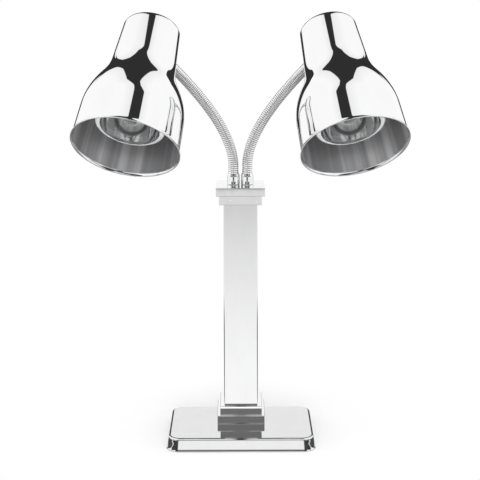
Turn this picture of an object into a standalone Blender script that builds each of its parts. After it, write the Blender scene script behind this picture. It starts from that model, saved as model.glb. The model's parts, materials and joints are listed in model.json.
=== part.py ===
"""Twin heat lamp food warmer: weighted base, square column, two flexible goosenecks, two spun shades.

Metres, +Z up. The origin is on the table plane, under the centre of the column.
The front of the warmer faces -Y; the left arm is the one at -X.
"""

import math

import bmesh
import bpy
from mathutils import Matrix, Vector

MM = 0.001

# ---------------------------------------------------------------- dimensions (mm)
GAP = 0.3                    # clearance between neighbouring or resting pieces

PAD_THICK = 2.0              # rubber sheet under the base
PAD_INSET = 6.0
BASE_HEIGHT = 24.0
BASE_HALF_WIDTH = 136.3      # at the flared bottom edge
BASE_FRONT = 122.5           # column centre to the bottom front edge
BASE_REAR = 54.1             # column centre to the bottom rear edge
BASE_FLARE = 4.6             # how far the side wall leans out
BASE_EDGE_RADIUS = 4.3       # rounded top edge
BASE_CORNER_RADIUS = 25.0    # in plan, at the bottom
BASE_SKIN = 1.2
BALLAST_THICK = 8.0
BALLAST_INSET = 12.0

TIER_WIDE = 88.2             # square tiers at the foot and the head of the column
TIER_NARROW = 77.9
TIER_WIDE_HEIGHT = 15.3
TIER_NARROW_HEIGHT = 16.6
TIER_BEVEL = 0.7
TIER_WEB = 5.0               # solid top of the narrow cap tier, above its pocket
TIER_POCKET = 50.0
COLUMN_WIDTH = 62.4
COLUMN_WALL = 1.5
COLUMN_HEIGHT = 379.8
COLUMN_CORNER = 1.6
WIRE_HOLE_R = 19.0

TIE_ROD_R = 3.0
TIE_NUT_FLATS = 10.0
TIE_NUT_HEIGHT = 5.0
TIE_WASHER_R = 6.4
TIE_WASHER_THICK = 1.2

SWITCH_Z = 112.0             # rear of the column
SWITCH_W = 20.0
SWITCH_H = 13.0
SWITCH_BEZEL = 1.8
SWITCH_DEPTH = 16.0
SWITCH_TILT = 10.0           # degrees each side of level

CORD_R = 3.4
CORD_Z = 15.6                # height at which the cord leaves the base

ARM_SPACING = 24.8           # centre to centre of the two goosenecks
HOSE_R = 9.2
FERRULE_R = 11.15
FERRULE_HEIGHT = 21.0
STEM_R = 5.0
NIPPLE_NUT_FLATS = 14.0
NIPPLE_NUT_HEIGHT = 3.5
WIRE_BORE_R = 2.2            # channel for the lamp lead through every link

BALL_R = 6.0
SOCKET_R = 6.6
JOINTS_PER_ARM = 7
FOOT_STUB = 12.0             # hose length between a ferrule and its nearest joint
HOSE_RISE = 61.5             # how long the hose runs on along its first direction
HOSE_REACH = 75.0            # and along its last

SHADE_X = 187.4              # centre of the shade's mouth, sideways from the column
SHADE_Y = -200.0
SHADE_Z = 562.8
SHADE_TILT = 39.7            # degrees its axis leans from upright, mouth forward
SHADE_TOE = 14.0             # degrees it turns, mouth outward
SHADE_LENGTH = 249.8
SHADE_SKIN = 0.9
LIP_FROM = 6.0               # the mouth flares out below this height
LIP_TO = -2.4
LIP_FLARE = 3.1
HEM_R = 1.15                 # rolled edge of the lip
BELL_R_MOUTH = 89.2
BELL_TAPER = 0.039           # radius lost per mm of height on the bell
SHOULDER_FROM = 57.1         # the bell rounds over above this height,
SHOULDER_MID = 115.0         # is steepest here,
SHOULDER_TO = 167.4          # and runs out into the neck here
SHOULDER_SLOPE = 0.543       # radius lost per mm where it is steepest
NECK_TAPER = 0.072
DOME_FROM = 232.3
DOME_RADIUS = 40.0

ARM_ENTRY = 210.0            # height on the shade at which the gooseneck enters it
ARM_ENTRY_TURN = 70.4        # degrees around the shade's axis

HOLDER_FROM = 180.0
HOLDER_TO = 219.0
HOLDER_R = 22.0
HOLDER_BORE_R = 15.5
HOLDER_BORE_TO = 211.5
SHELL_R = 15.1
SHELL_THICK = 0.9
BRACKET_THICK = 2.0
BRACKET_HALF_WIDTH = 9.0

BULB_R = 59.0
BULB_FACE = 30.0             # height of the middle of the lamp's front
BULB_WIDEST = 44.0
BULB_NECK_R = 19.5
BULB_NECK_FROM = 147.0
BULB_GLASS_TO = 178.0
BULB_WALL = 1.1
BULB_CAP_R = 13.4
BULB_CAP_TO = 204.0

PLUG_FROM = 172.0            # distance behind the column at which the plug starts
PLUG_LENGTH = 34.0

# ---------------------------------------------------------------- heights (mm)
Z_BASE = BASE_HEIGHT
Z_PLINTH_STEP = Z_BASE + TIER_WIDE_HEIGHT
Z_COLUMN = Z_PLINTH_STEP + TIER_NARROW_HEIGHT
Z_COLUMN_TOP = Z_COLUMN + COLUMN_HEIGHT
Z_CAP_STEP = Z_COLUMN_TOP + TIER_NARROW_HEIGHT
Z_CAP_TOP = Z_CAP_STEP + TIER_WIDE_HEIGHT
Z_HOSE = Z_CAP_TOP + FERRULE_HEIGHT


# ---------------------------------------------------------------- scene
for old in list(bpy.data.objects):
    bpy.data.objects.remove(old, do_unlink=True)

PARTS = bpy.data.collections.new("heat_lamp_warmer")
CUTTERS = bpy.data.collections.new("cutters")
bpy.context.scene.collection.children.link(PARTS)
bpy.context.scene.collection.children.link(CUTTERS)
CUTTERS.hide_render = True


def make_material(name, colour, roughness, metallic, transmission=0.0):
    material = bpy.data.materials.new(name)
    material.use_nodes = True
    shader = material.node_tree.nodes["Principled BSDF"]
    shader.inputs["Base Color"].default_value = (*colour, 1.0)
    shader.inputs["Roughness"].default_value = roughness
    shader.inputs["Metallic"].default_value = metallic
    shader.inputs["Transmission Weight"].default_value = transmission
    return material


LOOKS = {
    "polished_steel": ((0.86, 0.86, 0.87), 0.06, 1.0),
    "shade_steel": ((0.88, 0.88, 0.89), 0.05, 1.0),
    "hose_steel": ((0.72, 0.72, 0.73), 0.22, 1.0),
    "plain_steel": ((0.55, 0.56, 0.57), 0.4, 1.0),
    "cast_ballast": ((0.10, 0.10, 0.11), 0.7, 0.6),
    "black_rubber": ((0.02, 0.02, 0.02), 0.85, 0.0),
    "black_plastic": ((0.03, 0.03, 0.03), 0.4, 0.0),
    "white_plastic": ((0.85, 0.85, 0.83), 0.45, 0.0),
    "brass": ((0.80, 0.60, 0.28), 0.3, 1.0),
    "nickel": ((0.68, 0.66, 0.62), 0.25, 1.0),
    "ceramic": ((0.90, 0.88, 0.84), 0.3, 0.0),
    "bulb_glass": ((0.93, 0.95, 0.96), 0.02, 0.0, 0.9),
    "tungsten": ((0.35, 0.34, 0.33), 0.4, 1.0),
}


def new_object(name, data, look, matrix=None, collection=PARTS):
    obj = bpy.data.objects.new(name, data)
    collection.objects.link(obj)
    if matrix is not None:
        obj.matrix_world = matrix
    # each sub-part owns its material
    obj.data.materials.append(make_material(name + "_material", *LOOKS[look]))
    return obj


def new_cutter(name, mesh, matrix=None):
    obj = bpy.data.objects.new(name, mesh)
    CUTTERS.objects.link(obj)
    if matrix is not None:
        obj.matrix_world = matrix
    obj.hide_render = True
    obj.display_type = "WIRE"
    return obj


def cut(obj, cutter, operation="DIFFERENCE"):
    modifier = obj.modifiers.new("Cut " + cutter.name, "BOOLEAN")
    modifier.operation = operation
    modifier.object = cutter
    modifier.solver = "EXACT"


def round_edges(obj, width, segments=2):
    bevel = obj.modifiers.new("Bevel", "BEVEL")
    bevel.width = width * MM
    bevel.segments = segments
    bevel.limit_method = "ANGLE"
    bevel.angle_limit = math.radians(40)


def smooth(mesh, angle=35.0):
    mesh.shade_smooth()
    mesh.set_sharp_from_angle(angle=math.radians(angle))


def box_mesh(name, size, centre=(0, 0, 0)):
    """A box from its full size and centre, both in mm."""
    bm = bmesh.new()
    bmesh.ops.create_cube(bm, size=1.0)
    bmesh.ops.scale(bm, vec=Vector(size) * MM, verts=bm.verts)
    bmesh.ops.translate(bm, vec=Vector(centre) * MM, verts=bm.verts)
    mesh = bpy.data.meshes.new(name)
    bm.to_mesh(mesh)
    bm.free()
    return mesh


def cylinder_mesh(name, radius, low, high, segments=24, turn=0.0):
    """A cylinder along local Z between two heights, all in mm."""
    bm = bmesh.new()
    bmesh.ops.create_cone(
        bm, cap_ends=True, segments=segments,
        radius1=radius * MM, radius2=radius * MM, depth=(high - low) * MM,
        matrix=Matrix.Translation((0, 0, (low + high) / 2 * MM)) @ Matrix.Rotation(turn, 4, "Z"),
    )
    mesh = bpy.data.meshes.new(name)
    bm.to_mesh(mesh)
    bm.free()
    return mesh


def turned(name, profile, steps, look, matrix=None, closed=False):
    """A turned piece. The profile is (radius, height) in mm and runs down the outside;
    it starts and ends on the axis, or closes on itself when closed is True."""
    mesh = bpy.data.meshes.new(name)
    points = [(r * MM, 0.0, z * MM) for r, z in profile]
    edges = [(i, i + 1) for i in range(len(points) - 1)]
    if closed:
        edges.append((len(points) - 1, 0))
    mesh.from_pydata(points, edges, [])
    obj = new_object(name, mesh, look, matrix)
    screw = obj.modifiers.new("Screw", "SCREW")
    screw.axis = "Z"
    screw.angle = 2 * math.pi
    screw.screw_offset = 0.0
    screw.steps = steps
    screw.render_steps = steps
    screw.use_merge_vertices = True
    screw.merge_threshold = 0.00001
    screw.use_smooth_shade = True
    return obj


def hex_nut(name, flats, low, high, bore_r, look, matrix=None, turn=0.0):
    """A hexagon with a bore, its flats facing local X at turn 0."""
    nut = new_object(
        name,
        cylinder_mesh(name, flats / math.sqrt(3), low, high, 6, math.radians(30) + turn),
        look,
        matrix,
    )
    cut(nut, new_cutter(name + "_bore", cylinder_mesh(name + "_bore", bore_r, low - 2, high + 2, 20), matrix))
    return nut


def rounded_rectangle(half_width, low_y, high_y, radius, per_corner):
    """Plan outline, anticlockwise, in mm."""
    points = []
    for cx, cy, start in (
        (half_width - radius, high_y - radius, 0),
        (-half_width + radius, high_y - radius, 90),
        (-half_width + radius, low_y + radius, 180),
        (half_width - radius, low_y + radius, 270),
    ):
        for i in range(per_corner + 1):
            a = math.radians(start + 90 * i / per_corner)
            points.append((cx + radius * math.cos(a), cy + radius * math.sin(a)))
    return points


def flat_outline(name, outlines, low, high, look):
    """A plate from closed plan outlines; the second and later outlines are openings."""
    curve = bpy.data.curves.new(name, "CURVE")
    curve.dimensions = "2D"
    curve.fill_mode = "BOTH"
    curve.extrude = (high - low) / 2 * MM
    for outline in outlines:
        spline = curve.splines.new("POLY")
        spline.points.add(len(outline) - 1)
        for point, (x, y) in zip(spline.points, outline):
            point.co = (x * MM, y * MM, 0.0, 1.0)
        spline.use_cyclic_u = True
    guide = bpy.data.objects.new(name + "_outline", curve)
    CUTTERS.objects.link(guide)
    bpy.context.view_layer.update()
    graph = bpy.context.evaluated_depsgraph_get()
    mesh = bpy.data.meshes.new_from_object(guide.evaluated_get(graph))
    bpy.data.objects.remove(guide, do_unlink=True)
    bm = bmesh.new()
    bm.from_mesh(mesh)
    bmesh.ops.remove_doubles(bm, verts=bm.verts, dist=0.000001)
    bmesh.ops.recalc_face_normals(bm, faces=bm.faces)
    bm.to_mesh(mesh)
    bm.free()
    mesh.materials.clear()
    mesh.name = name
    return new_object(name, mesh, look, Matrix.Translation((0, 0, (low + high) / 2 * MM)))


def tube(name, points, radius, look, resolution=2):
    """A round wire through points in mm, with closed ends."""
    curve = bpy.data.curves.new(name, "CURVE")
    curve.dimensions = "3D"
    curve.bevel_depth = radius * MM
    curve.bevel_resolution = resolution
    curve.use_fill_caps = True
    spline = curve.splines.new("POLY")
    spline.points.add(len(points) - 1)
    for point, co in zip(spline.points, points):
        point.co = (co[0] * MM, co[1] * MM, co[2] * MM, 1.0)
    return new_object(name, curve, look)


def frame_of(origin, x_axis, z_axis):
    """A placement matrix from an origin in mm and two directions."""
    z = Vector(z_axis).normalized()
    x = (Vector(x_axis) - z * z.dot(Vector(x_axis))).normalized()
    y = z.cross(x)
    m = Matrix((x, y, z)).transposed().to_4x4()
    m.translation = Vector(origin) * MM
    return m


# ---------------------------------------------------------------- base
def base_cover():
    """Pressed cover: a flat top, a rounded edge and a leaning wall, open underneath."""
    top_inset = BASE_FLARE + BASE_EDGE_RADIUS
    levels = []
    for i in range(5):
        a = math.radians(90 - 90 * i / 4)
        levels.append((top_inset - BASE_EDGE_RADIUS * math.cos(a), BASE_HEIGHT - BASE_EDGE_RADIUS * (1 - math.sin(a))))
    levels += [(BASE_FLARE * 0.45, 9.0), (0.8, 3.2), (0.0, 0.9)]
    bm = bmesh.new()
    rings = []
    for inset, z in levels:
        outline = rounded_rectangle(
            BASE_HALF_WIDTH - inset, -BASE_FRONT + inset, BASE_REAR - inset,
            BASE_CORNER_RADIUS - inset * 0.75, 4,
        )
        rings.append([bm.verts.new((x * MM, y * MM, z * MM)) for x, y in outline])
    bm.faces.new(rings[0])
    for upper, lower in zip(rings, rings[1:]):
        for i in range(len(upper)):
            j = (i + 1) % len(upper)
            bm.faces.new((upper[i], lower[i], lower[j], upper[j]))
    bmesh.ops.recalc_face_normals(bm, faces=bm.faces)
    mesh = bpy.data.meshes.new("base_cover")
    bm.to_mesh(mesh)
    bm.free()
    smooth(mesh)
    cover = new_object("base_cover", mesh, "polished_steel")
    shell = cover.modifiers.new("Solidify", "SOLIDIFY")
    shell.thickness = BASE_SKIN * MM
    shell.offset = -1.0
    shell.use_even_offset = True
    cut(cover, new_cutter("cover_wire_hole", cylinder_mesh("cover_wire_hole", WIRE_HOLE_R - 3, 18, 30)))
    # round hole in the rear wall for the cord grip
    aim = Matrix.Translation((0, BASE_REAR * MM, CORD_Z * MM)) @ Matrix.Rotation(math.radians(90), 4, "X")
    cut(cover, new_cutter("cover_cord_hole", cylinder_mesh("cover_cord_hole", 4.9, -12, 12, 20), aim))
    return cover


def base():
    base_cover()
    flat_outline(
        "base_pad",
        [rounded_rectangle(BASE_HALF_WIDTH - PAD_INSET, -BASE_FRONT + PAD_INSET, BASE_REAR - PAD_INSET, 19, 4)],
        0.0, PAD_THICK, "black_rubber",
    )
    low = PAD_THICK + GAP
    high = low + BALLAST_THICK
    ballast = flat_outline(
        "ballast_plate",
        [rounded_rectangle(BASE_HALF_WIDTH - BALLAST_INSET, -BASE_FRONT + BALLAST_INSET, BASE_REAR - BALLAST_INSET, 9, 3)],
        low, high, "cast_ballast",
    )
    cut(ballast, new_cutter("ballast_rod_hole", cylinder_mesh("ballast_rod_hole", TIE_ROD_R + GAP, low - 2, high + 2, 16)))
    cut(ballast, new_cutter("ballast_nut_pocket", cylinder_mesh("ballast_nut_pocket", 7.2, low - 2, high - 1.5, 20)))


# ---------------------------------------------------------------- column
def square_tier(name, width, low, high):
    tier = new_object(name, box_mesh(name, (width, width, high - low), (0, 0, (low + high) / 2)), "polished_steel")
    round_edges(tier, TIER_BEVEL, 2)
    return tier


def column():
    for name, width, low, high in (
        ("plinth_lower_tier", TIER_WIDE, Z_BASE + GAP, Z_PLINTH_STEP),
        ("plinth_upper_tier", TIER_NARROW, Z_PLINTH_STEP + GAP, Z_COLUMN),
    ):
        tier = square_tier(name, width, low, high)
        cut(tier, new_cutter(name + "_hole", cylinder_mesh(name + "_hole", WIRE_HOLE_R, low - 3, high + 3)))

    cap_lower = square_tier("cap_lower_tier", TIER_NARROW, Z_COLUMN_TOP + GAP, Z_CAP_STEP)
    pocket_top = Z_CAP_STEP - TIER_WEB
    cut(cap_lower, new_cutter("cap_pocket", box_mesh(
        "cap_pocket", (TIER_POCKET, TIER_POCKET, pocket_top - Z_COLUMN_TOP + 4),
        (0, 0, (pocket_top + Z_COLUMN_TOP - 4) / 2))))
    cap_upper = square_tier("cap_upper_tier", TIER_WIDE, Z_CAP_STEP + GAP, Z_CAP_TOP)
    cut(cap_lower, new_cutter("cap_rod_hole", cylinder_mesh("cap_rod_hole", TIE_ROD_R + GAP, pocket_top - 3, Z_CAP_STEP + 2, 16)))
    cut(cap_upper, new_cutter("cap_nut_pocket", cylinder_mesh("cap_nut_pocket", 6.6, Z_CAP_STEP - 2, Z_CAP_STEP + 8.2, 20)))
    for side, word in ((-1, "left"), (1, "right")):
        for tier, low, high in ((cap_lower, pocket_top - 3, Z_CAP_STEP + 2), (cap_upper, Z_CAP_STEP - 2, Z_CAP_TOP + 3)):
            name = tier.name + "_stem_hole_" + word
            place = Matrix.Translation((side * ARM_SPACING / 2 * MM, 0, 0))
            cut(tier, new_cutter(name, cylinder_mesh(name, STEM_R + GAP, low, high, 20), place))

    half = COLUMN_WIDTH / 2
    tube_ = flat_outline(
        "column_tube",
        [
            rounded_rectangle(half, -half, half, COLUMN_CORNER, 2),
            rounded_rectangle(half - COLUMN_WALL, -half + COLUMN_WALL, half - COLUMN_WALL, 0.6, 1),
        ],
        Z_COLUMN + GAP, Z_COLUMN_TOP, "polished_steel",
    )
    cut(tube_, new_cutter("column_switch_window", box_mesh(
        "column_switch_window", (SWITCH_W + 2 * GAP, 10, SWITCH_H + 2 * GAP), (0, half, SWITCH_Z))))

    # tie rod that pulls the cap, the column and the base together
    rod_low, rod_high = PAD_THICK + 0.6, Z_CAP_STEP + 7.6
    new_object("tie_rod", cylinder_mesh("tie_rod", TIE_ROD_R, rod_low, rod_high, 16), "plain_steel")
    ballast_top = PAD_THICK + GAP + BALLAST_THICK - 1.5
    washer_low = ballast_top - GAP - TIE_WASHER_THICK
    washer = new_object("tie_rod_washer", cylinder_mesh("tie_rod_washer", TIE_WASHER_R, washer_low, washer_low + TIE_WASHER_THICK, 20), "plain_steel")
    cut(washer, new_cutter("tie_rod_washer_bore", cylinder_mesh("tie_rod_washer_bore", TIE_ROD_R + GAP, washer_low - 2, washer_low + 4, 16)))
    nut_low = washer_low - GAP - TIE_NUT_HEIGHT + 0.9
    hex_nut("tie_rod_bottom_nut", TIE_NUT_FLATS, nut_low, washer_low - GAP, TIE_ROD_R + 0.25, "plain_steel")
    nut_low = Z_CAP_STEP + GAP
    hex_nut("tie_rod_top_nut", TIE_NUT_FLATS, nut_low, nut_low + TIE_NUT_HEIGHT, TIE_ROD_R + 0.25, "plain_steel", turn=math.radians(30))


# ---------------------------------------------------------------- electrics
def electrics():
    half = COLUMN_WIDTH / 2
    # rocker switch: a framed body in the rear wall of the column
    housing = new_object("switch_housing", box_mesh(
        "switch_housing", (SWITCH_W, SWITCH_DEPTH, SWITCH_H), (0, half - SWITCH_DEPTH / 2 + 0.5, SWITCH_Z)), "black_plastic")
    bezel = new_cutter("switch_bezel_plate", box_mesh(
        "switch_bezel_plate", (SWITCH_W + 2 * SWITCH_BEZEL, 1.8, SWITCH_H + 2 * SWITCH_BEZEL), (0, half + GAP + 0.9, SWITCH_Z)))
    cut(housing, bezel, "UNION")
    cut(housing, new_cutter("switch_well", box_mesh(
        "switch_well", (SWITCH_W - 3.0, 12, SWITCH_H - 2.6), (0, half, SWITCH_Z))))
    # the rocker pivots on a crosswise axis just inside the wall, and rests with its lower half pressed
    bm = bmesh.new()
    long, thick = (SWITCH_H - 3.6) / 2, 2.6
    outline = [(-long, thick - 0.1), (0, thick - 0.9), (long, thick - 0.1), (long - 0.5, -1.8), (-long + 0.5, -1.8)]
    width = SWITCH_W - 3.8
    left = [bm.verts.new((-width / 2 * MM, y * MM, z * MM)) for z, y in outline]
    right = [bm.verts.new((width / 2 * MM, y * MM, z * MM)) for z, y in outline]
    bm.faces.new(left)
    bm.faces.new(reversed(right))
    for i in range(len(outline)):
        j = (i + 1) % len(outline)
        bm.faces.new((left[i], right[i], right[j], left[j]))
    bmesh.ops.recalc_face_normals(bm, faces=bm.faces)
    mesh = bpy.data.meshes.new("switch_rocker")
    bm.to_mesh(mesh)
    bm.free()
    new_object("switch_rocker", mesh, "black_plastic",
               Matrix.Translation((0, (half + 0.9) * MM, SWITCH_Z * MM)) @ Matrix.Rotation(math.radians(-SWITCH_TILT), 4, "X"))

    # three-way terminal strip standing inside the column
    block = new_object("terminal_block", box_mesh("terminal_block", (30, 17, 18), (0, -half + COLUMN_WALL + GAP + 8.5, 78)), "white_plastic")
    round_edges(block, 1.0, 1)
    for i in (-1, 0, 1):
        name = "terminal_hole_%d" % (i + 2)
        cut(block, new_cutter(name, cylinder_mesh(name, 2.2, 66, 90, 12), Matrix.Translation((i * 9.5 * MM, (-half + 10.4) * MM, 0))))

    # cord grip in the rear wall of the base
    aim = Matrix.Translation((0, 0, CORD_Z * MM)) @ Matrix.Rotation(math.radians(-90), 4, "X")
    wall = BASE_REAR - BASE_FLARE * 0.75
    bore = CORD_R + GAP
    turned("cord_strain_relief", [
        (bore, wall + 13), (4.7, wall + 13), (5.2, wall + 12), (6.2, wall + 4.2), (6.9, wall + 3.6),
        (6.9, wall + 2.1), (4.5, wall + 2.1), (4.5, wall - 5), (bore, wall - 5),
    ], 14, "black_rubber", aim, closed=True)

    # the lead rises from the terminal strip, drops through the plinth and runs straight back
    path = [(0, 9.5, 70), (0, 9.5, 30)]
    for i in range(1, 5):
        a = math.radians(90 * i / 4)
        path.append((0, 9.5 + 12 * (1 - math.cos(a)), CORD_Z + 12 - 12 * math.sin(a)))
    path += [(0, wall + 16, CORD_Z), (0, wall + 22, CORD_Z - 0.8), (0.6, wall + 30, CORD_Z - 3.6), (1.6, wall + 38, CORD_Z - 7.4),
             (2.8, wall + 46, CORD_R + 1.8), (4.2, wall + 54, CORD_R + 0.5)]
    start_y, end_y, end_z = wall + 54, PLUG_FROM - 5, 13.3
    for i in range(1, 9):
        t = i / 8
        rise = max(0.0, t - 0.4) / 0.6
        path.append((4.2 * math.cos(math.pi * t) + 4.2 * t, start_y + (end_y - start_y) * t,
                     CORD_R + 0.5 + (end_z - CORD_R - 0.5) * rise * rise * (3 - 2 * rise)))
    path.append((path[-1][0], PLUG_FROM + 8, end_z))
    tube("power_cord", path, CORD_R, "black_rubber", 2)

    # moulded two-pin plug lying on the table
    plug_x, plug_z = path[-1][0], path[-1][2]
    place = Matrix.Translation((plug_x * MM, 0, plug_z * MM)) @ Matrix.Rotation(math.radians(-90), 4, "X")
    e = PLUG_FROM + PLUG_LENGTH
    turned("plug_body", [
        (0, e), (11.5, e), (12.8, e - 1.3), (13.0, e - 8), (11.8, e - 17), (7.4, e - 25), (6.0, e - 30), (5.2, e - 34),
        (CORD_R + GAP, e - 34), (CORD_R + GAP, e - 24), (0, e - 24),
    ], 18, "black_rubber", place)
    for side, word in ((-1, "left"), (1, "right")):
        name = "plug_pin_" + word
        pin = Matrix.Translation((side * 7.0 * MM, 0, 0))
        body = bpy.data.objects["plug_body"]
        cut(body, new_cutter(name + "_socket", cylinder_mesh(name + "_socket", 2.3, e - 6, e + 2, 12), place @ pin))
        turned(name, [(0, e + 19), (1.2, e + 18.8), (2.0, e + 17.6), (2.0, e - 5.5), (0, e - 5.5)], 12, "nickel", place @ pin)


# ---------------------------------------------------------------- shade and lamp
def shade_radius(s):
    """Outer radius of the spun shade at height s above its mouth: bell, rounded shoulder, hollow fillet, neck."""
    r = BELL_R_MOUTH - BELL_TAPER * min(s, SHOULDER_FROM)
    if s > SHOULDER_FROM:
        span = SHOULDER_MID - SHOULDER_FROM
        u = min(1.0, (s - SHOULDER_FROM) / span)
        r -= span * (BELL_TAPER * u + (SHOULDER_SLOPE - BELL_TAPER) * u * u / 2)
    if s > SHOULDER_MID:
        span = SHOULDER_TO - SHOULDER_MID
        v = min(1.0, (s - SHOULDER_MID) / span)
        r -= span * (NECK_TAPER * v + (SHOULDER_SLOPE - NECK_TAPER) * (v - v ** 3 + v ** 4 / 2))
    if s > SHOULDER_TO:
        r -= NECK_TAPER * (s - SHOULDER_TO)
    return r


def shade_profile(inset, low, count, dome_steps):
    """Radii and heights from the crown down to the mouth, set in by the given thickness."""
    points = []
    top_r = shade_radius(DOME_FROM)
    rise = SHADE_LENGTH - DOME_FROM
    for i in range(dome_steps + 1):
        a = math.radians(90 - 90 * i / dome_steps)
        r = top_r - DOME_RADIUS + (DOME_RADIUS - inset) * math.cos(a)
        points.append((r, DOME_FROM + (rise - inset) * math.sin(a)))
    heights = [200]
    heights += [SHOULDER_TO - (SHOULDER_TO - SHOULDER_FROM) * i / count for i in range(count + 1)]
    heights += [30, low]
    for s in heights:
        slope = (shade_radius(s + 1) - shade_radius(s - 1)) / 2
        n = math.hypot(1, slope)
        points.append((shade_radius(s) - inset / n, s - inset * slope / n))
    return points


def lip_line(inset):
    """The flared lip from just below LIP_FROM down to its hem, set in by the given thickness."""
    points = []
    for s in (3.2, 0.9, -1.0):
        t = (LIP_FROM - s) / (LIP_FROM - LIP_TO)
        slope = -2 * LIP_FLARE * t / (LIP_FROM - LIP_TO)
        n = math.hypot(1, slope)
        points.append((shade_radius(s) + LIP_FLARE * t * t - inset / n, s - inset * slope / n))
    return points


def bulb_outer(steps):
    """Outline of the reflector lamp from the middle of its face out and back to its neck."""
    points = []
    sag = BULB_WIDEST - BULB_FACE
    for i in range(steps + 1):
        t = i / steps
        r = (BULB_R - 2.5) * t
        points.append((r, BULB_FACE + (sag - 4.5) * t ** 2.2))
    points += [(BULB_R - 0.7, BULB_WIDEST - 3.0), (BULB_R, BULB_WIDEST)]
    for i in range(1, steps + 1):
        t = i / steps
        s = BULB_WIDEST + (BULB_NECK_FROM - BULB_WIDEST) * t
        r = BULB_NECK_R + (BULB_R - BULB_NECK_R) * (1 - t ** 1.55) ** 0.8
        points.append((r, s))
    points.append((BULB_NECK_R - 1.5, BULB_GLASS_TO))
    return points


def head_frame(side):
    """Placement of a shade: Z runs from its mouth to its crown, X towards the arm's entry."""
    tilt, toe = math.radians(SHADE_TILT), math.radians(SHADE_TOE)
    up = Vector((math.sin(tilt) * math.sin(toe), math.sin(tilt) * math.cos(toe), math.cos(tilt)))
    u = up.cross(Vector((0, 0, 1))).normalized()
    v = up.cross(u)
    turn = math.radians(ARM_ENTRY_TURN)
    entry = u * math.cos(turn) + v * math.sin(turn)
    flip = Vector((-side, 1, 1))
    up = Vector(a * b for a, b in zip(up, flip))
    entry = Vector(a * b for a, b in zip(entry, flip))
    return frame_of((side * SHADE_X, SHADE_Y, SHADE_Z), entry, up)


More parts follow.
